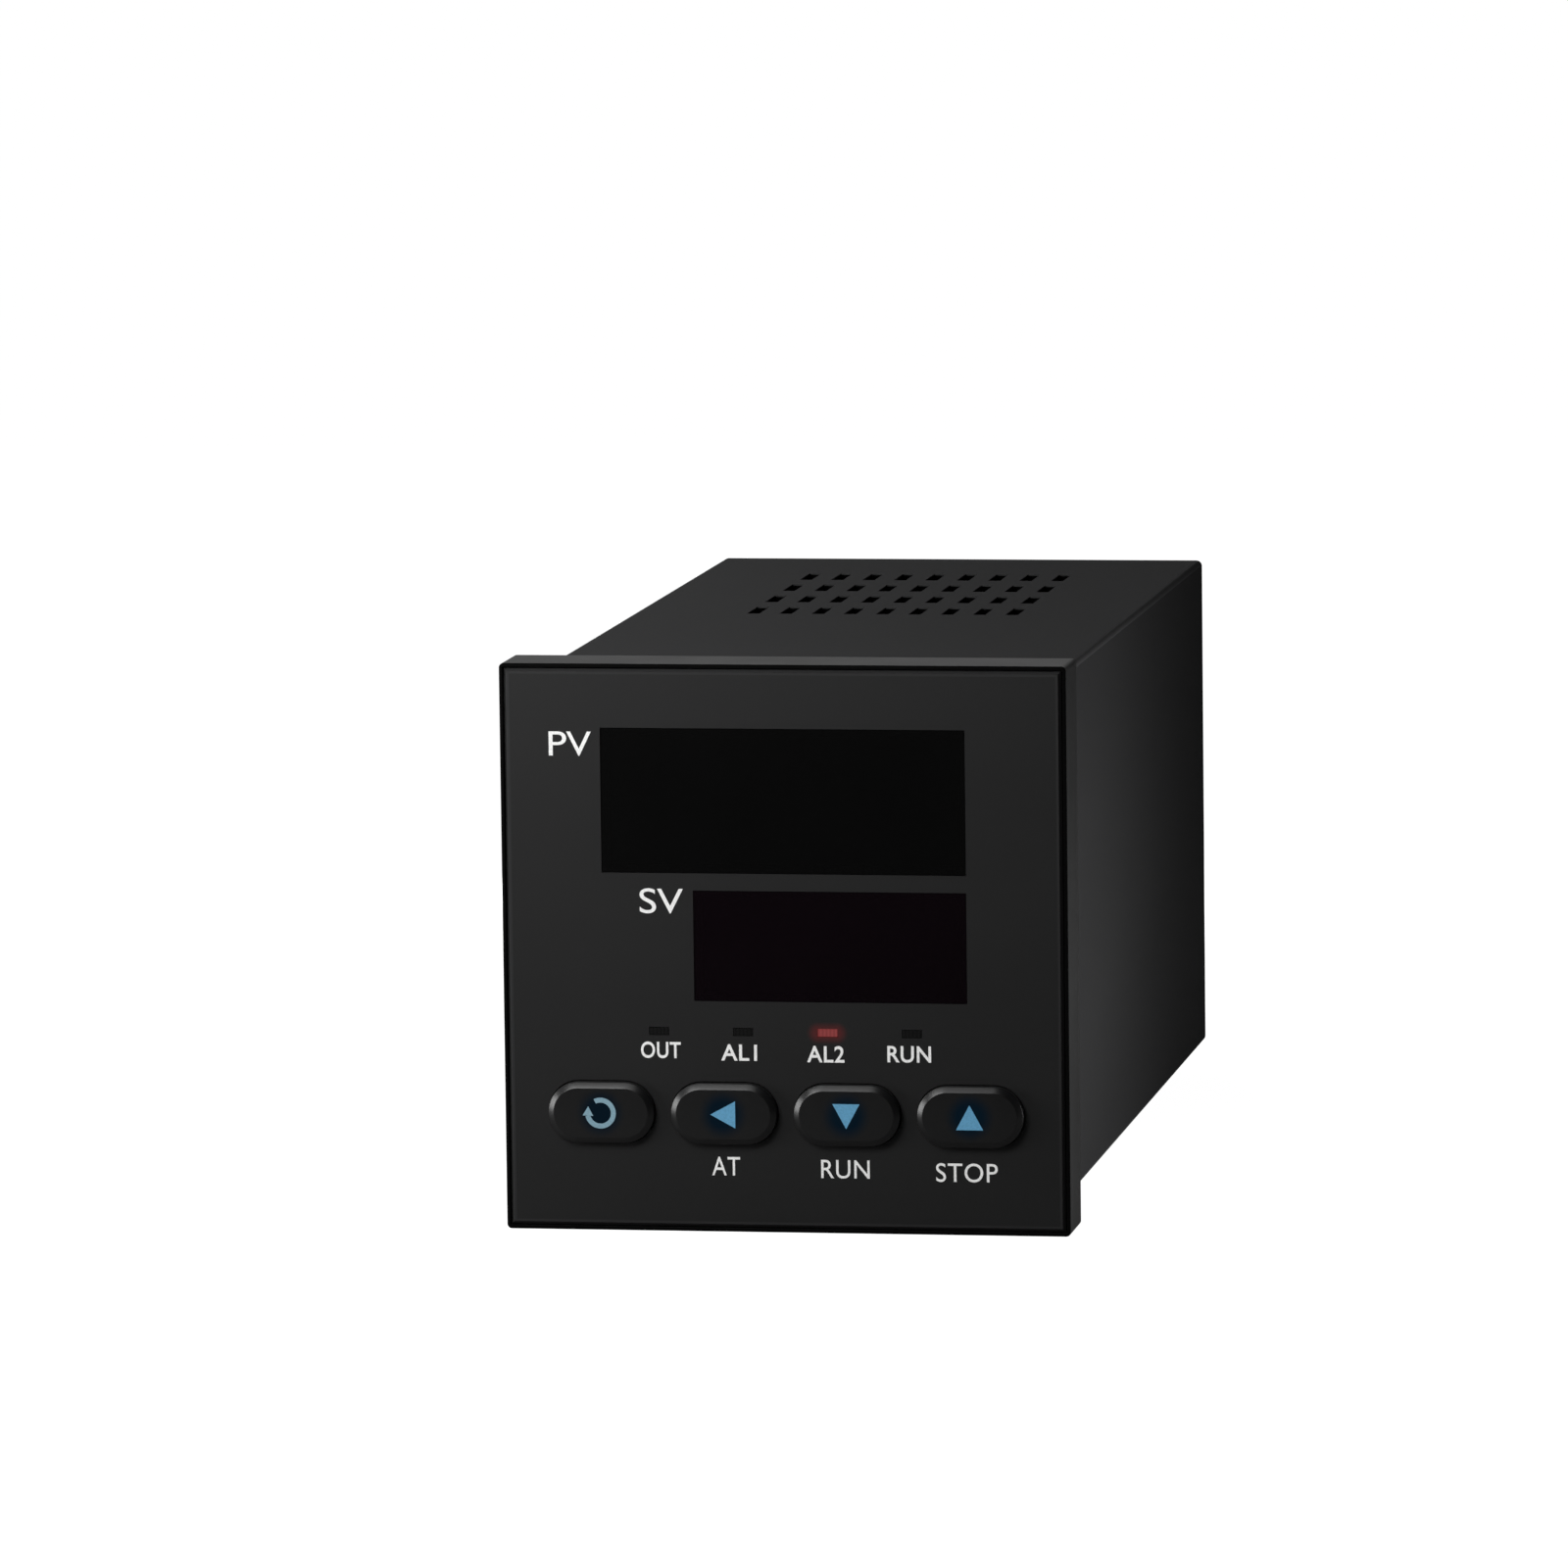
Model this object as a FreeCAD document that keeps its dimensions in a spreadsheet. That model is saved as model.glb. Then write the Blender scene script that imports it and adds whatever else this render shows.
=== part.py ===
import FreeCAD, Part
import math
import os
import re

import Sketcher

# PID temperature controller for a square panel cut-out, in millimetres.
# The origin is the centre of the bezel's rear face, where it seats on the panel.
# +Z is up, the front looks along -Y and the casing runs back along +Y.

SIZES = {
    # Front bezel and face plate
    "front_width": 48.0,
    "front_height": 48.0,
    "bezel_thickness": 6.5,
    "bezel_corner": 0.4,
    "bezel_edge": 0.2,
    "bezel_rear_edge": 0.25,
    "bezel_lip": 1.6,
    "rim_width": 0.3,
    "rim_gap": 0.12,
    "face_thickness": 0.8,
    "face_edge": 0.25,
    "web_thickness": 1.2,
    # Casing
    "casing_length": 95.0,
    "casing_wall": 1.6,
    "casing_corner": 0.5,
    "casing_end_edge": 0.4,
    "casing_clearance": 0.1,
    # Vent slots, in the casing's top and bottom walls
    "vents_across": 9,
    "vents_along": 4,
    "vent_width": 1.1,
    "vent_length": 5.4,
    "vent_side_margin": 1.9,
    "vent_pitch_along": 9.5,
    "vent_field_from_rear": 30.6,
    # Display windows and the modules behind them
    "window_side": 8.55,
    "upper_window_drop": 5.375,
    "window_gap": 1.45,
    "lower_window_height": 9.35,
    "lower_window_indent": 7.75,
    "lower_window_above_keys": 9.48,
    "window_ledge": 0.6,
    "window_clearance": 0.05,
    "window_sink": 0.05,
    "module_margin": 0.6,
    "module_depth": 7.0,
    "module_edge": 0.3,
    # Keys and the switches behind them
    "key_count": 4,
    "key_height": 5.05,
    "key_gap": 1.55,
    "key_side_gap": 0.225,
    "key_row_base": 10.1,
    "key_rise": 0.9,
    "key_bevel": 0.4,
    "key_clearance": 0.15,
    "key_flange": 0.45,
    "key_flange_thickness": 0.7,
    "key_travel": 0.5,
    "switch_width": 6.0,
    "switch_depth": 3.5,
    "switch_edge": 0.3,
    "plunger_diameter": 3.4,
    "plunger_clearance": 0.1,
    "plunger_engagement": 1.1,
    "plunger_spare": 0.3,
    # Indicators
    "indicator_count": 4,
    "indicator_width": 1.6,
    "indicator_height": 0.6,
    "indicator_pitch": 7.16,
    "indicator_above_keys": 6.9,
    "indicator_clearance": 0.05,
    "indicator_flange": 0.4,
    "indicator_flange_thickness": 0.6,
    "chip_light_width": 2.0,
    "chip_light_height": 1.2,
    "chip_light_depth": 0.9,
    "chip_light_gap": 0.1,
    # Boards, rails and headers
    "board_thickness": 1.6,
    "board_margin": 0.3,
    "board_corner": 1.5,
    "board_gap": 2.4,
    "side_board_inset": 6.8,
    "side_board_margin": 0.2,
    "rail_width": 0.8,
    "rail_height": 1.2,
    "rail_clearance": 0.1,
    "header_width": 2.5,
    "header_reach": 4.0,
    "header_height": 20.0,
    # Parts on the boards
    "core_length": 16.0,
    "core_rise": 12.5,
    "core_thickness": 5.0,
    "core_leg": 4.0,
    "core_yoke": 2.5,
    "coil_gap": 0.2,
    "coil_build": 3.3,
    "core_from_boards": 20.0,
    "core_up": 6.0,
    "relay_length": 15.5,
    "relay_width": 10.0,
    "relay_rise": 15.0,
    "relay_edge": 0.6,
    "relay_from_rear": 2.0,
    "relay_offset": 9.0,
    "input_capacitor_diameter": 10.0,
    "input_capacitor_rise": 16.0,
    "input_capacitor_from_boards": 23.0,
    "input_capacitor_wall_gap": 3.8,
    "output_capacitor_diameter": 8.0,
    "output_capacitor_rise": 12.0,
    "output_capacitor_from_boards": 9.0,
    "output_capacitor_wall_gap": 8.8,
    "capacitor_edge": 0.5,
    "processor_width": 10.0,
    "processor_rise": 1.4,
    "processor_from_boards": 12.0,
    "processor_edge": 0.25,
    # Rear section: cover between two terminal blocks
    "rear_length": 21.0,
    "rear_recess": 0.5,
    "rear_clearance": 0.1,
    "rear_cover_wall": 1.8,
    "rear_cover_edge": 0.4,
    "rear_field_margin": 3.0,
    "rear_field_depth": 0.4,
    "terminal_rows": 6,
    "terminal_block_width": 10.5,
    "terminal_floor": 12.0,
    "terminal_fin": 1.2,
    "terminal_plate_gap": 0.35,
    "terminal_plate_side": 1.25,
    "terminal_plate_thickness": 0.8,
    "screw_head_gap": 0.45,
    "screw_head_height": 1.8,
    "screw_thread": 2.9,
    "screw_length": 7.0,
    "screw_spare": 0.3,
    "screw_clearance": 0.1,
    "screw_slot_width": 0.8,
    "screw_slot_depth": 0.9,
    # Snap catches, on the bezel and on the rear cover
    "catch_width": 6.0,
    "catch_arm": 0.8,
    "catch_arm_length": 5.0,
    "catch_height": 0.7,
    "catch_length": 1.6,
    "catch_clearance": 0.1,
    "catch_slit": 0.6,
    "catch_slit_length": 8.0,
}

# Expressions worked out from the sizes, each measured from the origin
FRONT = "(-bezel_thickness)"
WEB_REAR = "(face_thickness + web_thickness - bezel_thickness)"
BOARD_FRONT = f"({WEB_REAR} + module_depth)"
BOARD_REAR = f"({BOARD_FRONT} + board_thickness)"
SIDE_BOARD_FRONT = f"({BOARD_REAR} + board_gap)"
REAR_FRONT = "(casing_length - rear_length)"
TERMINAL_SEAT = f"({REAR_FRONT} + terminal_floor)"
CASING_WIDTH = "(front_width - 2 * bezel_lip)"
CASING_HEIGHT = "(front_height - 2 * bezel_lip)"
INNER_WIDTH = f"({CASING_WIDTH} - 2 * casing_wall)"
INNER_HEIGHT = f"({CASING_HEIGHT} - 2 * casing_wall)"
SIDE_BOARD_FACE = f"({INNER_WIDTH} / 2 - side_board_inset)"
SIDE_BOARD_CENTRE = f"({SIDE_BOARD_FACE} + board_thickness / 2)"
VENT_PITCH = f"((2 * {SIDE_BOARD_FACE} - 2 * vent_side_margin - vent_width) / (vents_across - 1))"
REAR_HEIGHT = f"({INNER_HEIGHT} - 2 * rear_clearance)"
REAR_DEPTH = "(rear_length - rear_recess)"
BLOCK_OUTER = f"({INNER_WIDTH} / 2 - rear_clearance)"
BLOCK_CENTRE = f"({BLOCK_OUTER} - terminal_block_width / 2)"
REAR_COVER_WIDTH = f"(2 * ({BLOCK_OUTER} - terminal_block_width - rear_clearance))"
TERMINAL_PITCH = f"(({REAR_HEIGHT} - terminal_fin) / terminal_rows)"
LOWEST_TERMINAL = f"(-{TERMINAL_PITCH} * (terminal_rows - 1) / 2)"
SCREW_HEAD = f"({TERMINAL_PITCH} - terminal_fin - 2 * screw_head_gap)"
CATCH_SEAT = f"({INNER_HEIGHT} / 2 - rear_clearance)"

# The key row fills the casing's inner width; its height is measured from the base
KEY_ROW = "(key_row_base - front_height / 2)"
KEY_PITCH = f"(({INNER_WIDTH} - 2 * key_side_gap + key_gap - 2 * key_flange) / key_count)"
KEY_WIDTH = f"({KEY_PITCH} - key_gap)"
INDICATOR_ROW = f"({KEY_ROW} + indicator_above_keys)"

# Width, height, centre to the right and centre up of each window. The lower one
# stands on the key row, and the upper one takes the height that is left.
LOWER_BASE = f"({KEY_ROW} + lower_window_above_keys)"
UPPER_BASE = f"({LOWER_BASE} + lower_window_height + window_gap)"
UPPER_HEIGHT = f"(front_height / 2 - upper_window_drop - {UPPER_BASE})"
WINDOWS = {
    "upper": ("(front_width - 2 * window_side)", UPPER_HEIGHT, "0",
              f"({UPPER_BASE} + {UPPER_HEIGHT} / 2)"),
    "lower": ("(front_width - 2 * window_side - lower_window_indent)", "lower_window_height",
              "(lower_window_indent / 2)", f"({LOWER_BASE} + lower_window_height / 2)"),
}

ZERO = "0"
FACE_PLANE = "XZ_Plane"
LEVEL_PLANE = "XY_Plane"
SIDE_PLANE = "YZ_Plane"

doc = FreeCAD.newDocument("temperature_controller")
sheet = doc.addObject("Spreadsheet::Sheet", "sizes")
for row, (alias, number) in enumerate(SIZES.items(), start=1):
    sheet.set(f"A{row}", alias)
    sheet.set(f"B{row}", str(number))
    sheet.setAlias(f"B{row}", alias)
doc.recompute()

sub_parts = []


def bound(expression):
    """Put the sheet's name before each alias in an expression."""
    def linked(word):
        return "sizes." + word.group() if word.group() in SIZES else word.group()
    return re.sub(r"[a-z][a-z_]*", linked, expression)


def new_body(name, x=ZERO, y=ZERO, z=ZERO):
    """A sub-part with its own label, placed by three expressions."""
    body = doc.addObject("PartDesign::Body", name)
    body.Label = name
    for axis, place in (("x", x), ("y", y), ("z", z)):
        body.setExpression(f"Placement.Base.{axis}", bound(place))
    sub_parts.append(body)
    return body


def origin_plane(body, role):
    """One of the body's own three planes."""
    return next(item for item in body.Origin.OriginFeatures if item.Role == role)


def new_sketch(body, name, plane=FACE_PLANE, across=ZERO, back=ZERO, up=ZERO):
    """A sketch on one of the body's planes, moved across (X), back (Y) and up (Z)."""
    sketch = body.newObject("Sketcher::SketchObject", f"{body.Name}_{name}")
    sketch.AttachmentSupport = [(origin_plane(body, plane), "")]
    sketch.MapMode = "FlatFace"
    offsets = {
        FACE_PLANE: (across, up, f"-({back})"),
        LEVEL_PLANE: (across, back, up),
        SIDE_PLANE: (back, up, across),
    }[plane]
    for axis, offset in zip("xyz", offsets):
        sketch.setExpression(f"AttachmentOffset.Base.{axis}", bound(offset))
    return sketch


def dimension(sketch, kind, *elements, size, guess):
    """A constraint bound to an expression; the guess only starts the solver."""
    index = sketch.addConstraint(Sketcher.Constraint(kind, *elements, guess))
    sketch.setExpression(f"Constraints[{index}]", bound(size))


def rectangle(sketch, width, height):
    """A rectangle centred on the sketch's origin."""
    corners = [FreeCAD.Vector(x, y, 0) for x, y in ((-5, -3), (5, -3), (5, 3), (-5, 3))]
    for start, end in zip(corners, corners[1:] + corners[:1]):
        sketch.addGeometry(Part.LineSegment(start, end))
    for line in range(4):
        sketch.addConstraint(Sketcher.Constraint("Coincident", line, 2, (line + 1) % 4, 1))
    for line, kind in enumerate(("Horizontal", "Vertical", "Horizontal", "Vertical")):
        sketch.addConstraint(Sketcher.Constraint(kind, line))
    sketch.addConstraint(Sketcher.Constraint("Symmetric", 0, 1, 2, 1, -1, 1))
    dimension(sketch, "DistanceX", 0, 1, 0, 2, size=width, guess=10)
    dimension(sketch, "DistanceY", 1, 1, 1, 2, size=height, guess=6)


def stadium(sketch, width, height):
    """Two straight sides joined by half circles, centred on the sketch's origin."""
    half, radius = 2.0, 2.5
    centres = FreeCAD.Vector(half, 0, 0), FreeCAD.Vector(-half, 0, 0)
    normal = FreeCAD.Vector(0, 0, 1)
    sketch.addGeometry(Part.LineSegment(
        FreeCAD.Vector(-half, -radius, 0), FreeCAD.Vector(half, -radius, 0)))
    sketch.addGeometry(Part.ArcOfCircle(
        Part.Circle(centres[0], normal, radius), -math.pi / 2, math.pi / 2))
    sketch.addGeometry(Part.LineSegment(
        FreeCAD.Vector(half, radius, 0), FreeCAD.Vector(-half, radius, 0)))
    sketch.addGeometry(Part.ArcOfCircle(
        Part.Circle(centres[1], normal, radius), math.pi / 2, 3 * math.pi / 2))
    for element in range(4):
        sketch.addConstraint(Sketcher.Constraint("Tangent", element, 2, (element + 1) % 4, 1))
    sketch.addConstraint(Sketcher.Constraint("Horizontal", 0))
    sketch.addConstraint(Sketcher.Constraint("Equal", 1, 3))
    sketch.addConstraint(Sketcher.Constraint("Symmetric", 1, 3, 3, 3, -1, 1))
    dimension(sketch, "Radius", 1, size=f"({height}) / 2", guess=radius)
    dimension(sketch, "DistanceX", 3, 3, 1, 3, size=f"({width}) - ({height})", guess=2 * half)


def circle(sketch, diameter):
    """A circle centred on the sketch's origin."""
    sketch.addGeometry(Part.Circle(FreeCAD.Vector(0, 0, 0), FreeCAD.Vector(0, 0, 1), 2))
    sketch.addConstraint(Sketcher.Constraint("Coincident", 0, 3, -1, 1))
    dimension(sketch, "Diameter", 0, size=diameter, guess=4)


def outline(sketch, points):
    """A closed outline of straight lines; each point is two distances from the origin."""
    turn = 2 * math.pi / len(points)
    guesses = [FreeCAD.Vector(3 - 2 * math.cos(i * turn), 3 - 2 * math.sin(i * turn), 0)
               for i in range(len(points))]
    for start, end in zip(guesses, guesses[1:] + guesses[:1]):
        sketch.addGeometry(Part.LineSegment(start, end))
    for line, (x, y) in enumerate(points):
        following = (line + 1) % len(points)
        sketch.addConstraint(Sketcher.Constraint("Coincident", line, 2, following, 1))
        for kind, axis, size in (("DistanceX", -2, x), ("DistanceY", -1, y)):
            if size == ZERO:
                sketch.addConstraint(Sketcher.Constraint("PointOnObject", line, 1, axis))
            else:
                dimension(sketch, kind, -1, 1, line, 1, size=size, guess=2)


def add(body, sketch, length, kind, middle=False):
    """Pad or pocket a sketch. On the face plane both run back along +Y."""
    feature = body.newObject(f"PartDesign::{kind}", f"{sketch.Name}_{kind.lower()}")
    feature.Profile = sketch
    feature.setExpression("Length", bound(length))
    feature.Midplane = middle
    on_face = sketch.AttachmentSupport[0][0].Role == FACE_PLANE
    feature.Reversed = on_face and kind == "Pad"
    return feature


def pad(body, sketch, length, **options):
    """Raise a sketch into a solid."""
    return add(body, sketch, length, "Pad", **options)


def pocket(body, sketch, length, **options):
    """Cut a sketch into the solid."""
    return add(body, sketch, length, "Pocket", **options)


def turned(body, sketch, axis):
    """Turn a sketch a full circle about one of its axes."""
    feature = body.newObject("PartDesign::Revolution", f"{sketch.Name}_turned")
    feature.Profile = sketch
    feature.ReferenceAxis = (sketch, [axis])
    feature.Angle = 360
    return feature


def row_step(body, name, sketch, axis, pitch, count):
    """One direction of a pattern, with a fixed pitch along a sketch axis."""
    step = body.newObject("PartDesign::LinearPattern", f"{body.Name}_{name}")
    step.Direction = (sketch, [axis])
    step.Mode = "Spacing"
    step.setExpression("Offset", bound(pitch))
    step.setExpression("Occurrences", bound(count))
    return step


def mirror_step(body, name, plane):
    """A copy on the other side of one of the body's planes."""
    step = body.newObject("PartDesign::Mirrored", f"{body.Name}_{name}")
    step.MirrorPlane = (origin_plane(body, plane), [""])
    return step


def repeat(body, name, features, steps):
    """Repeat features by one pattern step, or by several together."""
    pattern = steps[0]
    if len(steps) > 1:
        pattern = body.newObject("PartDesign::MultiTransform", f"{body.Name}_{name}")
        pattern.Transformations = steps
    pattern.Originals = features
    body.Tip = pattern


def edges_of(body, wanted):
    """Names of the edges of the body's present shape that pass a test."""
    doc.recompute()
    return [f"Edge{number}" for number, edge in enumerate(body.Tip.Shape.Edges, start=1)
            if wanted(edge)]


def dress(body, name, kind, size, wanted):
    """Fillet or chamfer the edges that pass a test."""
    names = edges_of(body, wanted)
    base = body.Tip
    feature = body.newObject(f"PartDesign::{kind}", f"{body.Name}_{name}")
    feature.Base = (base, names)
    feature.setExpression("Radius" if kind == "Fillet" else "Size", bound(size))


def runs_along(edge, axis):
    """True for a straight edge along one axis, given as 0, 1 or 2."""
    box = edge.BoundBox
    lengths = [box.XLength, box.YLength, box.ZLength]
    tolerance = 1e-4
    return lengths[axis] > tolerance and sum(lengths) - lengths[axis] < tolerance


def outermost(edge, box, axes):
    """True when an edge lies on the outside of a box along each of the axes."""
    tolerance = 1e-4
    centre = edge.BoundBox.Center
    limits = [(box.XMin, box.XMax), (box.YMin, box.YMax), (box.ZMin, box.ZMax)]
    return all(min(abs(centre[axis] - limit) for limit in limits[axis]) < tolerance
               for axis in axes)


def trim_long_corners(body, name, size, kind="Fillet"):
    """Fillet or chamfer the four outer corners that run along Y."""
    doc.recompute()
    box = body.Tip.Shape.BoundBox
    dress(body, name, kind, size,
          lambda edge: runs_along(edge, 1) and outermost(edge, box, (0, 2)))


def end_edge_test(body, axis=1, at_start=True):
    """A test for the outer edges of the face at one end of the body."""
    doc.recompute()
    box = body.Tip.Shape.BoundBox
    ends = [(box.XMin, box.XMax), (box.YMin, box.YMax), (box.ZMin, box.ZMax)][axis]
    limit = ends[0] if at_start else ends[1]
    tolerance = 1e-4

    def wanted(edge):
        low = [edge.BoundBox.XMin, edge.BoundBox.YMin, edge.BoundBox.ZMin][axis]
        high = [edge.BoundBox.XMax, edge.BoundBox.YMax, edge.BoundBox.ZMax][axis]
        return abs(low - limit) < tolerance and abs(high - limit) < tolerance
    return wanted


def box_body(name, width, depth, height, x=ZERO, y=ZERO, z=ZERO):
    """A block centred in X and Z on its place, running back from it in Y."""
    body = new_body(name, x, y, z)
    block = new_sketch(body, "block")
    rectangle(block, width, height)
    pad(body, block, depth)
    return body


def row_place(index, count, pitch):
    """Place along X of one of a row of pieces centred on the front."""
    return f"({index} - ({count} - 1) / 2) * {pitch}"


# Front: bezel, face plate and windows

def cut_front_openings(body, depth):
    """The row of key openings and the row of indicator slots."""
    keys = new_sketch(body, "key_opening", up=KEY_ROW,
                      across=row_place(0, "key_count", KEY_PITCH))
    stadium(keys, f"{KEY_WIDTH} + 2 * key_clearance", "key_height + 2 * key_clearance")
    key_cut = pocket(body, keys, depth)
    repeat(body, "key_openings", [key_cut],
           [row_step(body, "key_step", keys, "H_Axis", KEY_PITCH, "key_count")])
    slots = new_sketch(
        body, "indicator_slot", up=INDICATOR_ROW,
        across=row_place(0, "indicator_count", "indicator_pitch"))
    rectangle(slots, "indicator_width + 2 * indicator_clearance",
              "indicator_height + 2 * indicator_clearance")
    slot_cut = pocket(body, slots, depth)
    repeat(body, "indicator_slots", [slot_cut],
           [row_step(body, "indicator_step", slots, "H_Axis",
                     "indicator_pitch", "indicator_count")])


def cut_window(body, which, depth, shrink=ZERO):
    """The opening for one window, smaller all round by the shrink."""
    width, height, right, up = WINDOWS[which]
    opening = new_sketch(body, f"{which}_opening", across=right, up=up)
    rectangle(opening, f"{width} - 2 * {shrink}", f"{height} - 2 * {shrink}")
    pocket(body, opening, depth)


def make_front_bezel():
    """Moulded frame: rim in front, pierced web, socket for the casing, four hooks."""
    body = new_body("front_bezel", y=FRONT)
    block = new_sketch(body, "block")
    rectangle(block, "front_width", "front_height")
    pad(body, block, "bezel_thickness")
    trim_long_corners(body, "corners", "bezel_corner")
    dress(body, "front_edges", "Fillet", "bezel_edge", end_edge_test(body))
    dress(body, "rear_edges", "Chamfer", "bezel_rear_edge",
          end_edge_test(body, at_start=False))
    recess = new_sketch(body, "recess")
    rectangle(recess, "front_width - 2 * rim_width", "front_height - 2 * rim_width")
    pocket(body, recess, "face_thickness")
    socket = new_sketch(body, "socket", back="face_thickness + web_thickness")
    rectangle(socket, f"{CASING_WIDTH} + 2 * casing_clearance",
              f"{CASING_HEIGHT} + 2 * casing_clearance")
    pocket(body, socket, "bezel_thickness - face_thickness - web_thickness")
    web_end = "face_thickness + web_thickness"
    cut_window(body, "upper", web_end, "window_ledge")
    cut_window(body, "lower", web_end, "window_ledge")
    cut_front_openings(body, web_end)
    hook = new_sketch(body, "hook", SIDE_PLANE, back=web_end,
                      up=f"{CATCH_SEAT} - catch_arm")
    outline(hook, [
        (ZERO, ZERO),
        ("catch_arm_length", ZERO),
        ("catch_arm_length", "catch_arm"),
        ("catch_arm_length - catch_length", "catch_arm + catch_height"),
        ("catch_arm_length - catch_length", "catch_arm"),
        (ZERO, "catch_arm")])
    arm = pad(body, hook, "catch_width", middle=True)
    repeat(body, "hooks", [arm], [mirror_step(body, "lower_hook", LEVEL_PLANE)])


def make_face_plate():
    """Flat plate with a bevelled edge, pierced for windows, keys and indicators."""
    body = new_body("face_plate", y=FRONT)
    block = new_sketch(body, "block")
    inset = "2 * (rim_width + rim_gap)"
    rectangle(block, f"front_width - {inset}", f"front_height - {inset}")
    pad(body, block, "face_thickness")
    dress(body, "edges", "Chamfer", "face_edge", end_edge_test(body))
    cut_window(body, "upper", "face_thickness")
    cut_window(body, "lower", "face_thickness")
    cut_front_openings(body, "face_thickness")


def make_window(which):
    """Smoked lens that fills the plate's opening and rests on the bezel's web."""
    width, height, right, up = WINDOWS[which]
    box_body(f"{which}_window", f"{width} - 2 * window_clearance",
             "face_thickness - window_sink", f"{height} - 2 * window_clearance",
             x=right, y=f"{FRONT} + window_sink", z=up)


def make_display(which):
    """Four-digit module between the web and the display board."""
    width, height, right, up = WINDOWS[which]
    body = box_body(f"{which}_display", f"{width} + 2 * module_margin", "module_depth",
                    f"{height} + 2 * module_margin", x=right, y=WEB_REAR, z=up)
    trim_long_corners(body, "corners", "module_edge", "Chamfer")


# Keys, switches and indicators

def make_key_cap(index):
    """Raised stadium cap with a bevelled face and a flange behind the web."""
    body = new_body(f"key_cap_{index + 1}", y=f"{FRONT} - key_rise", z=KEY_ROW,
                    x=row_place(index, "key_count", KEY_PITCH))
    cap = new_sketch(body, "cap")
    stadium(cap, KEY_WIDTH, "key_height")
    stem = "key_rise + face_thickness + web_thickness"
    pad(body, cap, stem)
    dress(body, "bevel", "Chamfer", "key_bevel", end_edge_test(body))
    flange = new_sketch(body, "flange", back=stem)
    stadium(flange, f"{KEY_WIDTH} + 2 * key_flange", "key_height + 2 * key_flange")
    pad(body, flange, "key_flange_thickness")


def make_key_switch(index):
    """Square switch body on the display board, bored for its plunger."""
    body = box_body(f"key_switch_{index + 1}", "switch_width", "switch_depth", "switch_width",
                    x=row_place(index, "key_count", KEY_PITCH),
                    y=f"{BOARD_FRONT} - switch_depth", z=KEY_ROW)
    trim_long_corners(body, "corners", "switch_edge", "Chamfer")
    bore = new_sketch(body, "bore")
    circle(bore, "plunger_diameter + 2 * plunger_clearance")
    pocket(body, bore, "plunger_engagement + key_travel + plunger_spare")


def make_plunger(index):
    """Round plunger from the key's flange into its switch."""
    start = f"({WEB_REAR} + key_flange_thickness)"
    body = new_body(f"switch_plunger_{index + 1}", y=start, z=KEY_ROW,
                    x=row_place(index, "key_count", KEY_PITCH))
    post = new_sketch(body, "post")
    circle(post, "plunger_diameter")
    pad(body, post, f"{BOARD_FRONT} - switch_depth + plunger_engagement - {start}")


def make_indicator_lens(index):
    """Light pipe from the face back to its lamp, held by a small flange."""
    body = new_body(
        f"indicator_lens_{index + 1}", y=FRONT, z=INDICATOR_ROW,
        x=row_place(index, "indicator_count", "indicator_pitch"))
    bar = new_sketch(body, "bar")
    rectangle(bar, "indicator_width", "indicator_height")
    pad(body, bar, f"{BOARD_FRONT} - chip_light_depth - chip_light_gap - {FRONT}")
    flange = new_sketch(body, "flange", back="face_thickness + web_thickness")
    rectangle(flange, "indicator_width + 2 * indicator_flange",
              "indicator_height + 2 * indicator_flange")
    pad(body, flange, "indicator_flange_thickness")


def make_indicator_chips():
    """The four lamps that stand on the display board behind the light pipes."""
    body = new_body("indicator_chips", y=f"{BOARD_FRONT} - chip_light_depth",
                    z=INDICATOR_ROW)
    block = new_sketch(
        body, "chip",
        across=row_place(0, "indicator_count", "indicator_pitch"))
    rectangle(block, "chip_light_width", "chip_light_height")
    chip = pad(body, block, "chip_light_depth")
    repeat(body, "chips", [chip],
           [row_step(body, "chip_step", block, "H_Axis", "indicator_pitch", "indicator_count")])


# Casing

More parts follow.
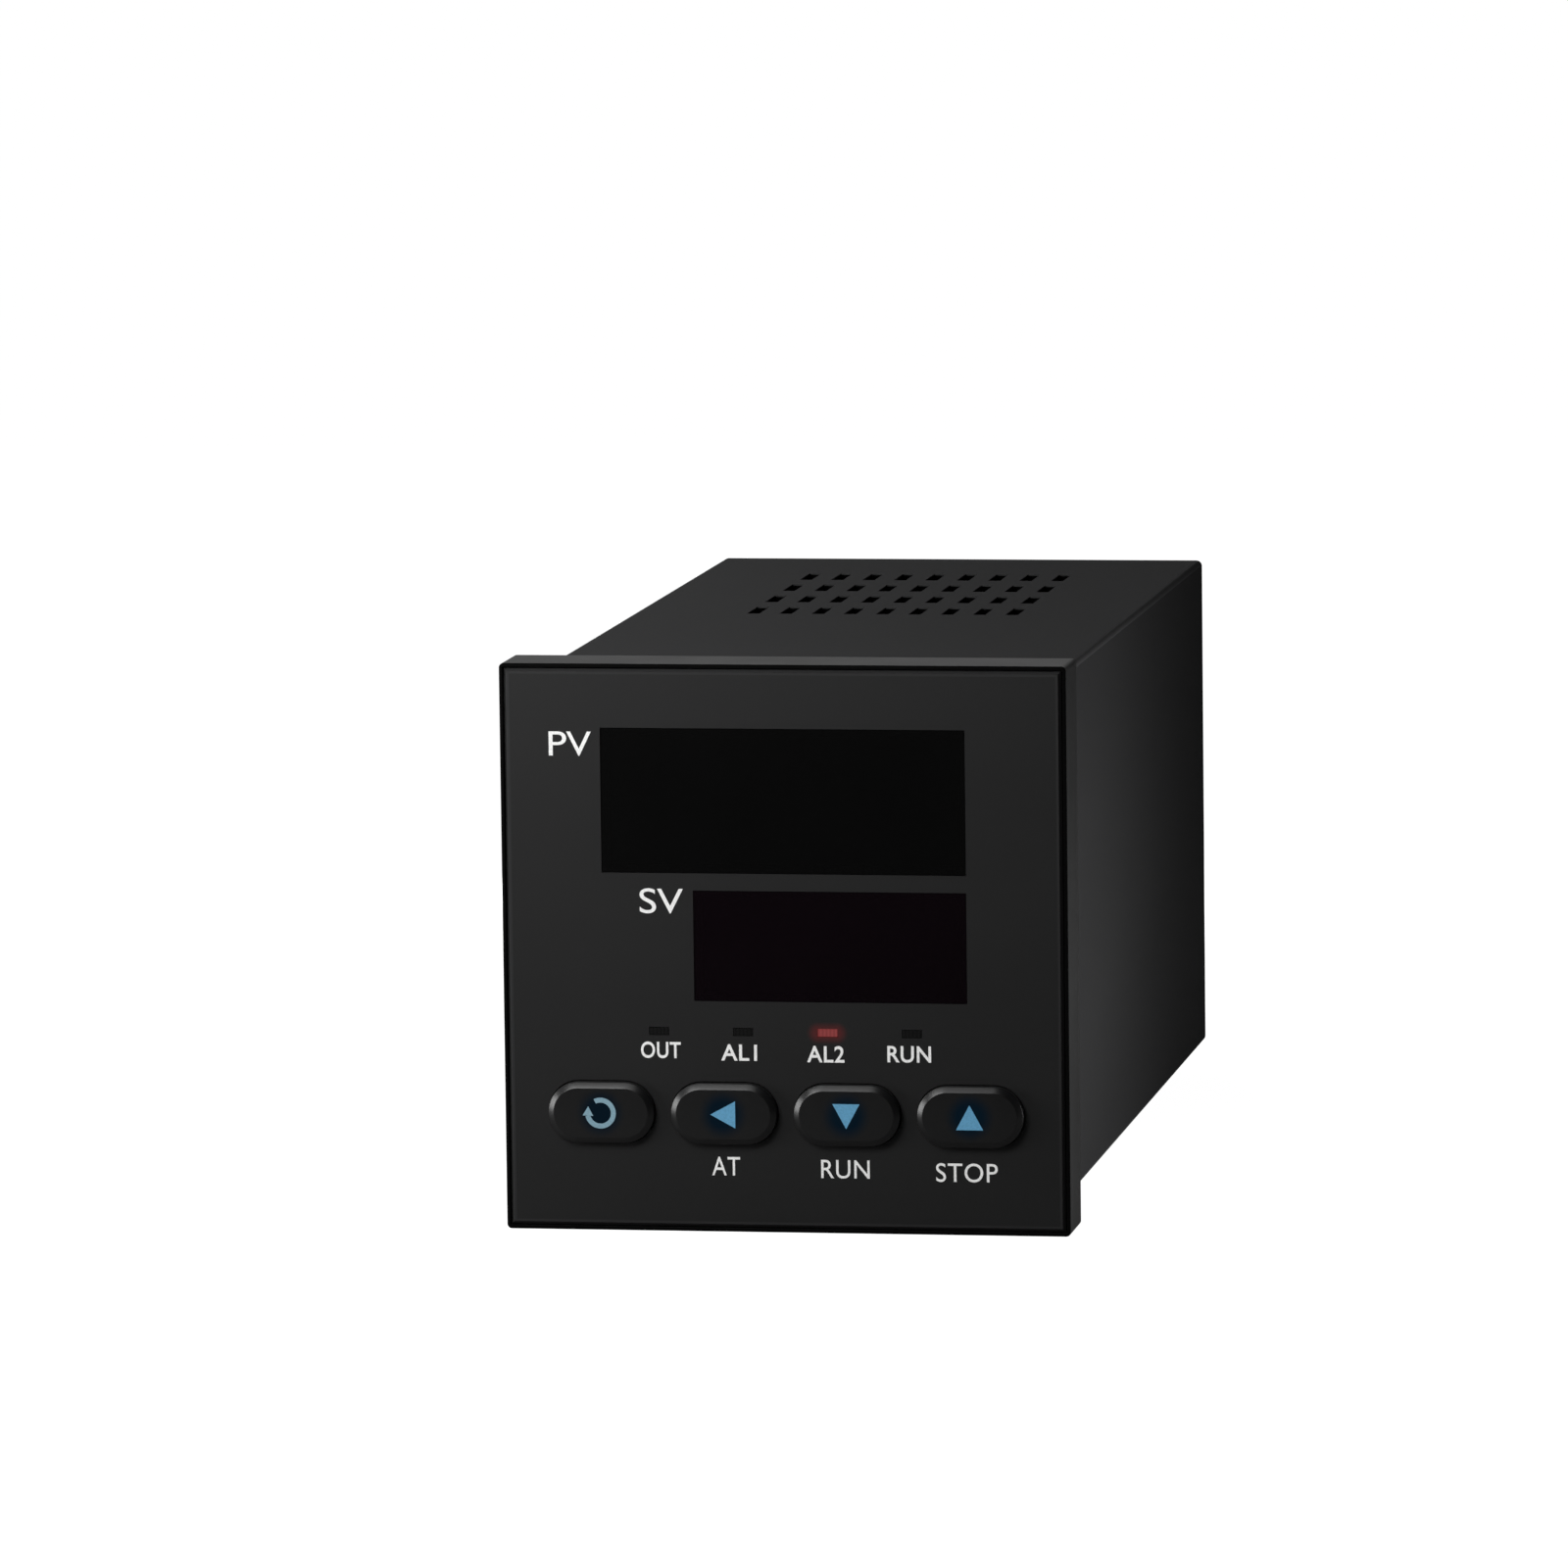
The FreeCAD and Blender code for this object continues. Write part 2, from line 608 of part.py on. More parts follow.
def make_casing_shell():
    """Square tube, open at both ends, with vents, board rails and catch recesses."""
    body = new_body("casing_shell", y=WEB_REAR)
    length = f"(casing_length - {WEB_REAR})"
    block = new_sketch(body, "block")
    rectangle(block, CASING_WIDTH, CASING_HEIGHT)
    pad(body, block, length)
    trim_long_corners(body, "corners", "casing_corner")
    dress(body, "end_edges", "Fillet", "casing_end_edge", end_edge_test(body, at_start=False))
    bore = new_sketch(body, "inside")
    rectangle(bore, INNER_WIDTH, INNER_HEIGHT)
    pocket(body, bore, length)

    rail = new_sketch(body, "rail", back=f"{SIDE_BOARD_FRONT} - {WEB_REAR}",
                      across=f"{SIDE_BOARD_FACE} - rail_clearance - rail_width / 2",
                      up=f"{INNER_HEIGHT} / 2 - rail_height / 2 + casing_wall / 4")
    rectangle(rail, "rail_width", "rail_height + casing_wall / 2")
    rib = pad(body, rail, f"{REAR_FRONT} - {SIDE_BOARD_FRONT}")
    repeat(body, "rails", [rib], [
        row_step(body, "rail_pair", rail, "H_Axis",
                 "board_thickness + 2 * rail_clearance + rail_width", "2"),
        mirror_step(body, "rail_sides", SIDE_PLANE),
        mirror_step(body, "rail_floor", LEVEL_PLANE)])

    recess_width = "catch_width + 2 * catch_clearance"
    recess_height = f"{INNER_HEIGHT} + 2 * (catch_height + catch_clearance)"
    recess_length = "catch_length + 2 * catch_clearance"
    front_catch = new_sketch(body, "front_catch",
                             back="catch_arm_length - catch_length - catch_clearance")
    rectangle(front_catch, recess_width, recess_height)
    pocket(body, front_catch, recess_length)
    rear_catch = new_sketch(body, "rear_catch",
                            back=f"{REAR_FRONT} - {WEB_REAR} + catch_length - catch_clearance")
    rectangle(rear_catch, recess_width, recess_height)
    pocket(body, rear_catch, recess_length)

    vent = new_sketch(
        body, "vent", LEVEL_PLANE,
        across=f"-(vents_across - 1) / 2 * {VENT_PITCH}",
        back=f"casing_length - vent_field_from_rear - {WEB_REAR}"
             " - (vents_along - 1) / 2 * vent_pitch_along")
    rectangle(vent, "vent_width", "vent_length")
    slot = pocket(body, vent, f"2 * {CASING_HEIGHT}", middle=True)
    repeat(body, "vents", [slot], [
        row_step(body, "vent_columns", vent, "H_Axis", VENT_PITCH, "vents_across"),
        row_step(body, "vent_rows", vent, "V_Axis", "vent_pitch_along", "vents_along")])


# Boards and the parts on them

def make_display_board():
    """Board behind the front that carries the modules, switches and lamps."""
    body = box_body("display_board", f"{INNER_WIDTH} - 2 * board_margin",
                    "board_thickness", f"{INNER_HEIGHT} - 2 * board_margin",
                    y=BOARD_FRONT)
    trim_long_corners(body, "corners", "board_corner", "Chamfer")


def make_side_board(name, side):
    """Upright board that slides between the casing's rails."""
    box_body(name, "board_thickness", f"{REAR_FRONT} - {SIDE_BOARD_FRONT}",
             f"{INNER_HEIGHT} - 2 * side_board_margin",
             x=f"{side} * {SIDE_BOARD_CENTRE}", y=SIDE_BOARD_FRONT)


def make_board_header(name, side):
    """Pin header in the corner between the display board and a side board."""
    box_body(name, "header_width", "board_gap + header_reach", "header_height",
             x=f"{side} * ({SIDE_BOARD_FACE} - header_width / 2)", y=BOARD_REAR)


def make_transformer_core():
    """Two-window ferrite core standing on the power board."""
    body = new_body("transformer_core", x=f"-{SIDE_BOARD_FACE}", z="core_up",
                    y=f"{SIDE_BOARD_FRONT} + core_from_boards")
    plate = new_sketch(body, "plate", LEVEL_PLANE, across="core_rise / 2")
    rectangle(plate, "core_rise", "core_length")
    pad(body, plate, "core_thickness", middle=True)
    opening_width = "((core_length - 2 * core_leg) / 2 - core_yoke / 2)"
    opening = new_sketch(body, "opening", LEVEL_PLANE, across="core_rise / 2",
                         back=f"core_leg / 2 + {opening_width} / 2")
    rectangle(opening, "core_rise - 2 * core_yoke", opening_width)
    cut = pocket(body, opening, "2 * core_thickness", middle=True)
    repeat(body, "openings", [cut], [mirror_step(body, "other_opening", FACE_PLANE)])


def make_transformer_coil():
    """Winding round the core's middle leg."""
    body = new_body("transformer_coil", x=f"-{SIDE_BOARD_FACE} + core_rise / 2", z="core_up",
                    y=f"{SIDE_BOARD_FRONT} + core_from_boards")
    opening_width = "((core_length - 2 * core_leg) / 2 - core_yoke / 2)"
    block = new_sketch(body, "block", SIDE_PLANE)
    rectangle(block, f"core_leg + 2 * ({opening_width} - coil_gap)",
              "core_thickness + 2 * coil_build")
    pad(body, block, "core_rise - 2 * core_yoke - 2 * coil_gap", middle=True)
    bore = new_sketch(body, "bore", SIDE_PLANE)
    rectangle(bore, "core_leg + coil_gap", "core_thickness + coil_gap")
    pocket(body, bore, "2 * core_rise", middle=True)


def make_relay(name, side, up):
    """Sealed relay standing on a side board."""
    body = box_body(name, "relay_rise", "relay_length", "relay_width",
                    x=f"{side} * ({SIDE_BOARD_FACE} - relay_rise / 2)",
                    y=f"{REAR_FRONT} - relay_from_rear - relay_length", z=up)
    trim_long_corners(body, "corners", "relay_edge", "Chamfer")


def make_capacitor(name):
    """Round can with a bevelled top, standing on the power board."""
    radius = f"({name}_diameter / 2)"
    rise = f"{name}_rise"
    body = new_body(name, x=f"-{SIDE_BOARD_FACE}",
                    y=f"{SIDE_BOARD_FRONT} + {name}_from_boards",
                    z=f"{radius} + {name}_wall_gap - {INNER_HEIGHT} / 2")
    can = new_sketch(body, "can", LEVEL_PLANE)
    outline(can, [
        (ZERO, ZERO),
        (rise, ZERO),
        (rise, f"{radius} - capacitor_edge"),
        (f"{rise} - capacitor_edge", radius),
        (ZERO, radius)])
    turned(body, can, "H_Axis")


def make_processor_chip():
    """Square chip on the main board, with a bevelled top."""
    body = box_body("processor_chip", "processor_rise", "processor_width", "processor_width",
                    x=f"{SIDE_BOARD_FACE} - processor_rise / 2",
                    y=f"{SIDE_BOARD_FRONT} + processor_from_boards - processor_width / 2")
    dress(body, "edges", "Chamfer", "processor_edge", end_edge_test(body, axis=0))


# Rear: cover between two barrier terminal blocks

def make_rear_cover():
    """Box open to the inside, with a sunk field behind and a catch above and below."""
    body = new_body("rear_cover", y=REAR_FRONT)
    block = new_sketch(body, "block")
    rectangle(block, REAR_COVER_WIDTH, REAR_HEIGHT)
    pad(body, block, REAR_DEPTH)
    dress(body, "rear_edges", "Chamfer", "rear_cover_edge",
          end_edge_test(body, at_start=False))
    hollow = new_sketch(body, "hollow")
    rectangle(hollow, f"{REAR_COVER_WIDTH} - 2 * rear_cover_wall",
              f"{REAR_HEIGHT} - 2 * rear_cover_wall")
    pocket(body, hollow, f"{REAR_DEPTH} - rear_cover_wall")
    field = new_sketch(body, "field", back=f"{REAR_DEPTH} - rear_field_depth")
    rectangle(field, f"{REAR_COVER_WIDTH} - 2 * rear_field_margin",
              f"{REAR_HEIGHT} - 2 * rear_field_margin")
    pocket(body, field, "rear_field_depth")
    slit = new_sketch(body, "slit", LEVEL_PLANE, across="catch_width / 2 + catch_slit / 2",
                      back="catch_slit_length / 2")
    rectangle(slit, "catch_slit", "catch_slit_length")
    cut = pocket(body, slit, f"2 * {CASING_HEIGHT}", middle=True)
    repeat(body, "slits", [cut], [mirror_step(body, "other_slit", SIDE_PLANE)])
    nub = new_sketch(body, "nub", SIDE_PLANE, back="catch_length",
                     up=f"{REAR_HEIGHT} / 2 - rear_cover_wall / 2")
    root = "rear_cover_wall / 2"
    outline(nub, [
        (ZERO, ZERO),
        ("catch_length", ZERO),
        ("catch_length", f"{root} + catch_height"),
        (ZERO, root)])
    catch = pad(body, nub, "catch_width", middle=True)
    repeat(body, "catches", [catch], [mirror_step(body, "lower_catch", LEVEL_PLANE)])


def make_terminal_block(name, side):
    """Comb of barriers over a thick floor, bored for the terminal screws."""
    body = new_body(name, x=f"{side} * {BLOCK_CENTRE}", y=REAR_FRONT)
    floor = new_sketch(body, "floor")
    rectangle(floor, "terminal_block_width", REAR_HEIGHT)
    pad(body, floor, "terminal_floor")
    barrier = new_sketch(body, "barrier", back="terminal_floor",
                         up=f"-({REAR_HEIGHT} - terminal_fin) / 2")
    rectangle(barrier, "terminal_block_width", "terminal_fin")
    fin = pad(body, barrier, f"{REAR_DEPTH} - terminal_floor")
    repeat(body, "barriers", [fin],
           [row_step(body, "barrier_step", barrier, "V_Axis", TERMINAL_PITCH,
                     "terminal_rows + 1")])
    bore = new_sketch(body, "bore", back="terminal_floor - screw_length", up=LOWEST_TERMINAL)
    circle(bore, "screw_thread + 2 * screw_clearance")
    hole = pocket(body, bore, "screw_length")
    repeat(body, "bores", [hole],
           [row_step(body, "bore_step", bore, "V_Axis", TERMINAL_PITCH, "terminal_rows")])


def terminal_steps(body, sketch):
    """Two columns of six, the same for the plates and the screws."""
    return [row_step(body, "rows", sketch, "V_Axis", TERMINAL_PITCH, "terminal_rows"),
            row_step(body, "columns", sketch, "H_Axis", f"2 * {BLOCK_CENTRE}", "2")]


def make_terminal_plates():
    """Flat contact plates on the blocks' floors, one under each screw."""
    body = new_body("terminal_plates", x=f"-{BLOCK_CENTRE}", y=TERMINAL_SEAT,
                    z=LOWEST_TERMINAL)
    plate = new_sketch(body, "plate")
    rectangle(plate, "terminal_block_width - 2 * terminal_plate_side",
              f"{TERMINAL_PITCH} - terminal_fin - 2 * terminal_plate_gap")
    flat = pad(body, plate, "terminal_plate_thickness")
    bore = new_sketch(body, "bore")
    circle(bore, "screw_thread + 2 * screw_clearance")
    hole = pocket(body, bore, "terminal_plate_thickness")
    repeat(body, "plates", [flat, hole], terminal_steps(body, plate))


def make_terminal_screws():
    """Slotted screws, with their heads on the contact plates."""
    body = new_body("terminal_screws", x=f"-{BLOCK_CENTRE}", z=LOWEST_TERMINAL,
                    y=f"{TERMINAL_SEAT} + terminal_plate_thickness")
    shank = "(screw_length - screw_spare)"
    half = new_sketch(body, "half", LEVEL_PLANE, back=f"-{shank}")
    outline(half, [
        (ZERO, ZERO),
        ("screw_thread / 2", ZERO),
        ("screw_thread / 2", shank),
        (f"{SCREW_HEAD} / 2", shank),
        (f"{SCREW_HEAD} / 2", f"{shank} + screw_head_height"),
        (ZERO, f"{shank} + screw_head_height")])
    turning = turned(body, half, "V_Axis")
    slot = new_sketch(body, "slot", back="screw_head_height - screw_slot_depth")
    rectangle(slot, f"2 * {SCREW_HEAD}", "screw_slot_width")
    cut = pocket(body, slot, "screw_slot_depth")
    repeat(body, "screws", [turning, cut], terminal_steps(body, slot))


def build():
    """Make every sub-part."""
    make_casing_shell()
    make_front_bezel()
    make_face_plate()
    for which in ("upper", "lower"):
        make_window(which)
        make_display(which)
    for index in range(int(SIZES["key_count"])):
        make_key_cap(index)
        make_key_switch(index)
        make_plunger(index)
    for index in range(int(SIZES["indicator_count"])):
        make_indicator_lens(index)
    make_indicator_chips()
    make_display_board()
    make_side_board("power_board", "-1")
    make_side_board("main_board", "1")
    make_board_header("board_header_left", "-1")
    make_board_header("board_header_right", "1")
    make_transformer_core()
    make_transformer_coil()
    make_relay("power_relay", "-1", "relay_offset")
    make_relay("alarm_relay", "1", "-relay_offset")
    make_capacitor("input_capacitor")
    make_capacitor("output_capacitor")
    make_processor_chip()
    make_rear_cover()
    make_terminal_block("terminal_block_left", "-1")
    make_terminal_block("terminal_block_right", "1")
    make_terminal_plates()
    make_terminal_screws()


def check_and_export():
    """Stop at any failed feature or bad shape, then write one file for each sub-part."""
    doc.recompute()
    for item in doc.Objects:
        if "Invalid" in item.State or "Error" in item.State:
            raise RuntimeError(f"{item.Name} failed: {item.State}")
    os.makedirs("parts", exist_ok=True)
    for body in sub_parts:
        shape = body.Shape
        if shape.isNull() or not shape.isValid() or not shape.Solids:
            raise RuntimeError(f"{body.Label} has no sound shape")
        shape.exportStep(os.path.join("parts", f"{body.Label}.step"))
        print(f"{body.Label}: {len(shape.Solids)} solid, {shape.Volume:.1f} mm3")


build()
check_and_export()
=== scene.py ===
"""Looks of a square panel temperature controller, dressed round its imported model.

The origin is the centre of the bezel's rear face. The front looks along -Y, +Z is up and
the casing runs back along +Y. Sizes are in millimetres here and metres in the meshes.
"""

import logging
import math
from dataclasses import dataclass, field
from enum import Enum
from typing import Any, Sequence, Union

import bmesh
import bpy
import numpy as np
from mathutils import Matrix, Vector


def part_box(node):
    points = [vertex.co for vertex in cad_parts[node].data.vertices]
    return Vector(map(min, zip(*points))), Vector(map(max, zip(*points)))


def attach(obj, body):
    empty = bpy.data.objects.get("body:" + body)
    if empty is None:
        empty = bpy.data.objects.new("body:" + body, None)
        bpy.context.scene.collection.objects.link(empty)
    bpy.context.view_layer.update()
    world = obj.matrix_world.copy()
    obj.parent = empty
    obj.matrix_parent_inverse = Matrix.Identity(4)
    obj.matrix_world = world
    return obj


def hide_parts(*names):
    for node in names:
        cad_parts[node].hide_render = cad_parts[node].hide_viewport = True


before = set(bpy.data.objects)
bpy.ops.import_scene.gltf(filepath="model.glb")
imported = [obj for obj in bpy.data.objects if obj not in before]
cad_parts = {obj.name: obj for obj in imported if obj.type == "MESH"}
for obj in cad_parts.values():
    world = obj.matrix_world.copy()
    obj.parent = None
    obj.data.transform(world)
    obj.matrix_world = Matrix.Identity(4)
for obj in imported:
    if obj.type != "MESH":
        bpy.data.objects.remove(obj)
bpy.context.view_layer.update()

MM = 0.001
MERGE_DISTANCE = 1e-7
HOUSING = "housing"
Array = np.ndarray
Material = bpy.types.Material
Colour = tuple[float, float, float]
Point = tuple[float, float, float]
Span = tuple[float, float]
Surface = tuple[Array, Array]       # points in millimetres, and faces
WHITE: Colour = (1.0, 1.0, 1.0)
BLACK: Colour = (0.0, 0.0, 0.0)

logging.basicConfig(level=logging.INFO, format="%(message)s")
log = logging.getLogger("controller")


# Shader expressions

class Wire:
    """A socket of a shader tree that takes part in Python arithmetic."""

    def __init__(self, sheet: "NodeSheet", socket: bpy.types.NodeSocket) -> None:
        """Keep an output socket and the sheet that its Math nodes go to."""
        self.sheet = sheet
        self.socket = socket

    def math(self, operation: str, *others: "Operand") -> "Wire":
        """A Math node with this wire as its first operand and the others after it."""
        return self.sheet.add("ShaderNodeMath", {"operation": operation},
                              dict(enumerate((self, *others))))

    def __add__(self, other: "Operand") -> "Wire":
        """Sum."""
        return self.math("ADD", other)

    __radd__ = __add__

    def __sub__(self, other: "Operand") -> "Wire":
        """Difference."""
        return self.math("SUBTRACT", other)

    def __rsub__(self, other: "Operand") -> "Wire":
        """Difference with this wire second."""
        return self.math("MULTIPLY_ADD", -1.0, other)

    def __mul__(self, other: "Operand") -> "Wire":
        """Product."""
        return self.math("MULTIPLY", other)

    __rmul__ = __mul__

    def __truediv__(self, other: "Operand") -> "Wire":
        """Quotient."""
        return self.math("DIVIDE", other)

    def __gt__(self, other: "Operand") -> "Wire":
        """1 where this wire is the greater, 0 elsewhere."""
        return self.math("GREATER_THAN", other)

    def __lt__(self, other: "Operand") -> "Wire":
        """1 where this wire is the less, 0 elsewhere."""
        return self.math("LESS_THAN", other)

    def __abs__(self) -> "Wire":
        """Size without sign."""
        return self.math("ABSOLUTE")

    def falling(self, start: float, end: float) -> "Wire":
        """A smooth mask, 1 below the start and 0 above the end."""
        return self.sheet.add(
            "ShaderNodeMapRange", {"interpolation_type": "SMOOTHSTEP"},
            {"Value": self, "From Min": start, "From Max": end, "To Min": 1.0, "To Max": 0.0})


Operand = Union[Wire, float]


class NodeSheet:
    """The shader tree of one material or world."""

    def __init__(self, tree: bpy.types.NodeTree) -> None:
        """Keep a tree and empty it."""
        self.tree = tree
        tree.nodes.clear()

    def fill(self, socket: bpy.types.NodeSocket, value: Any) -> None:
        """Link a wire to a socket, or set the socket's own value.

        Args:
            socket: An input.
            value: A wire, a number, a vector, or a colour without its alpha.
        """
        if isinstance(value, Wire):
            self.tree.links.new(value.socket, socket)
        else:
            socket.default_value = (*value, 1.0) if socket.type == "RGBA" else value

    def add(self, kind: str, settings: dict[str, Any] | None = None,
            sockets: dict[str | int, Any] | None = None, output: str | int = 0) -> Wire:
        """Add a node, set it up and fill its sockets.

        Args:
            kind: The node's type name.
            settings: Attributes of the node, set first.
            sockets: A value or a wire for each named or numbered input.
            output: The output to return.

        Returns:
            One output of the node.
        """
        node = self.tree.nodes.new(kind)
        for name, value in (settings or {}).items():
            setattr(node, name, value)
        for key, value in (sockets or {}).items():
            self.fill(node.inputs[key], value)
        return Wire(self, node.outputs[output]) if len(node.outputs) else Wire(self, None)

    def place(self) -> Wire:
        """The point's place on the object, in metres."""
        return self.add("ShaderNodeTexCoord", output="Object")

    def axes(self) -> tuple[Wire, Wire, Wire]:
        """The three parts of the point's place, in millimetres.

        Returns:
            X, Y and Z.
        """
        split = self.add("ShaderNodeSeparateXYZ", sockets={0: self.place()}).socket.node
        return tuple(Wire(self, split.outputs[axis]) / MM for axis in "XYZ")

    def noise(self, size: float, detail: float = 2.0, stretch: Point = WHITE) -> Wire:
        """Noise whose patches are about one size across.

        Args:
            size: Size of a patch in millimetres.
            detail: Number of finer layers.
            stretch: How much longer the patches are along each axis.

        Returns:
            The noise, from 0 to 1.
        """
        mapped = self.add("ShaderNodeMapping", {"vector_type": "POINT"},
                          {"Vector": self.place(), "Scale": [1 / part for part in stretch]})
        return self.add("ShaderNodeTexNoise", sockets={
            "Vector": mapped, "Scale": 1 / (size * MM), "Detail": detail})

    def mix(self, mask: Operand, low: Any, high: Any) -> Wire:
        """Blend two colours by a mask.

        Args:
            mask: 0 for the first colour, 1 for the second.
            low: Colour or wire where the mask is 0.
            high: Colour or wire where the mask is 1.

        Returns:
            The blended colour.
        """
        node = self.add("ShaderNodeMix", {"data_type": "RGBA"}, {"Factor": mask}).socket.node
        for name, colour in (("A", low), ("B", high)):
            self.fill(next(s for s in node.inputs if s.name == name and s.type == "RGBA"), colour)
        return Wire(self, next(s for s in node.outputs if s.type == "RGBA"))

    def bump(self, height: Wire, depth: float) -> Wire:
        """A normal that follows a height, of which 1 is as deep as depth, in millimetres."""
        return self.add("ShaderNodeBump", sockets={
            "Height": height, "Strength": 1.0, "Distance": depth * MM})

    def principled(self, sockets: dict[str, Any]) -> Wire:
        """A Principled shader with these inputs."""
        return self.add("ShaderNodeBsdfPrincipled", sockets=sockets)

    def close(self, shader: Wire) -> None:
        """End the tree with a shader."""
        self.add("ShaderNodeOutputMaterial", sockets={"Surface": shader})


def new_material(name: str) -> tuple[Material, NodeSheet]:
    """A material with an empty tree.

    Args:
        name: Its name.

    Returns:
        The material and its sheet.
    """
    made = bpy.data.materials.new(name)
    made.use_nodes = True
    return made, NodeSheet(made.node_tree)


def distance(across: Wire, up: Wire) -> Wire:
    """How far a point is from the place where both of its parts are 0."""
    return (across * across + up * up).math("SQRT")


def shade(colour: Colour, share: float) -> Colour:
    """A colour made darker or lighter."""
    return tuple(part * share for part in colour)


# Finishes

@dataclass(frozen=True)
class Finish:
    """A named finish. Each kind has a shader of its own."""

    name: str

    def shader(self, sheet: NodeSheet) -> Wire:
        """The shader that the material ends with, which each kind gives."""
        raise NotImplementedError

    def material(self) -> Material:
        """The finish as a material.

        Returns:
            The new material.
        """
        made, sheet = new_material(self.name)
        sheet.close(self.shader(sheet))
        return made


@dataclass(frozen=True)
class Moulded(Finish):
    """Moulded plastic: fine spark-eroded grain, soft mottle and an even sheen."""

    colour: Colour
    roughness: float = 0.5
    specular: float = 0.3
    grain: float = 0.16
    depth: float = 0.004
    mottle: float = 0.12
    patch: float = 5.0
    streak: Point = (1.0, 1.0, 1.0)
    patch_gloss: float = 0.08
    grain_gloss: float = 0.06

    def surface(self, sheet: NodeSheet) -> dict[str, Any]:
        """The inputs that every moulded piece shares.

        Args:
            sheet: The material's sheet.

        Returns:
            Inputs of the Principled shader.
        """
        patches = sheet.noise(self.patch, 3.0, self.streak)
        grain = sheet.noise(self.grain, 2.0)
        return {
            "Base Color": sheet.mix(patches, shade(self.colour, 1 - self.mottle),
                                    shade(self.colour, 1 + self.mottle)),
            "Roughness": self.roughness + self.patch_gloss * (patches - 0.5)
            + self.grain_gloss * (grain - 0.5),
            "Specular IOR Level": self.specular,
            "Normal": sheet.bump(grain, self.depth),
        }

    def shader(self, sheet: NodeSheet) -> Wire:
        """The finish by itself.

        Args:
            sheet: The material's sheet.

        Returns:
            The shader.
        """
        return sheet.principled(self.surface(sheet))


@dataclass(frozen=True)
class DarkReflectionRim(Moulded):
    """The bezel's plastic, with a painted dark reflection: the front of its rim is coloured matt
    black.
    """

    rim_front: float = -6.34
    rim_dark_reflection_colour: Colour = (0.003, 0.003, 0.003)
    rim_roughness: float = 0.9
    rim_specular: float = 0.03

    def shader(self, sheet: NodeSheet) -> Wire:
        """The plastic, mixed with matt black near the front plane as a painted dark reflection.

        Args:
            sheet: The material's sheet.

        Returns:
            The shader.
        """
        inputs = self.surface(sheet)
        _, back, _ = sheet.axes()
        # Painted dark reflection: matt black on the rim's front stands in for the dark band along
        # the bezel's edge.
        black = sheet.principled({
            "Base Color": self.rim_dark_reflection_colour, "Roughness": self.rim_roughness,
            "Specular IOR Level": self.rim_specular, "Normal": inputs["Normal"]})
        return sheet.add("ShaderNodeMixShader", sockets={
            0: back < self.rim_front, 1: sheet.principled(inputs), 2: black})


@dataclass(frozen=True)
class Shell(Moulded):
    """The casing's plastic, with painted shade inside and at the sides' rear end, and a painted
    highlight on its long edges.
    """

    half: Span = (22.4, 22.4)
    skin: float = 0.12
    edge: float = 0.45
    # Painted highlight on the long edges, and painted shade inside and at the sides' rear end.
    edge_highlight_colour: Colour = (0.1, 0.1, 0.102)
    painted_shade_colour: Colour = (0.002, 0.002, 0.002)
    # Span over which the painted shade darkens the sides towards the rear.
    far: Span = (92.5, 96.5)
    end: float = 94.9

    def shader(self, sheet: NodeSheet) -> Wire:
        """The plastic, coloured by its place.

        Inside, all that lies deeper than the skin and short of the rear end, is painted near
        black as shade. An edge, where both a side and the top or floor are near, is painted
        paler as a highlight. The sides are painted darker close to the rear as shade.

        Args:
            sheet: The material's sheet.

        Returns:
            The shader.
        """
        inputs = self.surface(sheet)
        across, back, up = sheet.axes()
        beside, above = abs(across), abs(up)
        wide, tall = self.half
        on_side = beside > wide - self.skin
        at_end = back > self.end
        outside = on_side.math("MAXIMUM", above > tall - self.skin).math("MAXIMUM", at_end)
        # Painted highlight: the long edges are coloured paler to stand in for light along them.
        corner = (beside > wide - self.edge) * (above > tall - self.edge)
        # Painted shade: the sides darken near the rear end, and the inside is near black.
        rear_shade = on_side * (back < self.end) * (1.0 - back.falling(*self.far))
        colour = sheet.mix(corner, inputs["Base Color"], self.edge_highlight_colour)
        colour = sheet.mix(rear_shade, colour, self.painted_shade_colour)
        inputs["Base Color"] = sheet.mix(outside.math("MAXIMUM", corner),
                                         self.painted_shade_colour, colour)
        return sheet.principled(inputs)


@dataclass(frozen=True)
class FacePlate(Moulded):
    """The front plate's satin film, with a painted red glow round the lit indicator and a painted
    highlight along its edge.
    """

    glow: Span = (3.58, -7.0)
    glow_fall: Span = (0.2, 1.05)
    painted_glow_colour: Colour = (0.045, 0.001, 0.001)
    glow_width: float = 1.6
    edge: float = 0.45
    edge_highlight_colour: Colour = (0.019, 0.019, 0.0194)

    def shader(self, sheet: NodeSheet) -> Wire:
        """The film with its painted glow and its painted edge highlight.

        The painted glow stands in for the indicator's light on the film. It falls off smoothly
        with the distance from a short line through the lamp. The painted edge highlight covers
        all that lies less than its width inside the plate's outline.

        Args:
            sheet: The material's sheet.

        Returns:
            The shader.
        """
        inputs = self.surface(sheet)
        across, _, up = sheet.axes()
        low, high = node_box("face_plate")
        middle, half = (low + high) / 2, (high - low) / 2 - self.edge
        # Painted highlight: a paler band along the plate's edge.
        outside = (abs(across - middle[0]) > half[0]).math(
            "MAXIMUM", abs(up - middle[2]) > half[2])
        inputs["Base Color"] = sheet.mix(outside, inputs["Base Color"], self.edge_highlight_colour)
        # Painted light: the lit indicator's red glow, as emission on the film.
        beside = (abs(across - self.glow[0]) - self.glow_width / 2).math("MAXIMUM", 0.0)
        lit = distance(beside, up - self.glow[1]).falling(*self.glow_fall)
        inputs["Emission Color"] = sheet.mix(lit, BLACK, self.painted_glow_colour)
        inputs["Emission Strength"] = 1.0
        return sheet.principled(inputs)


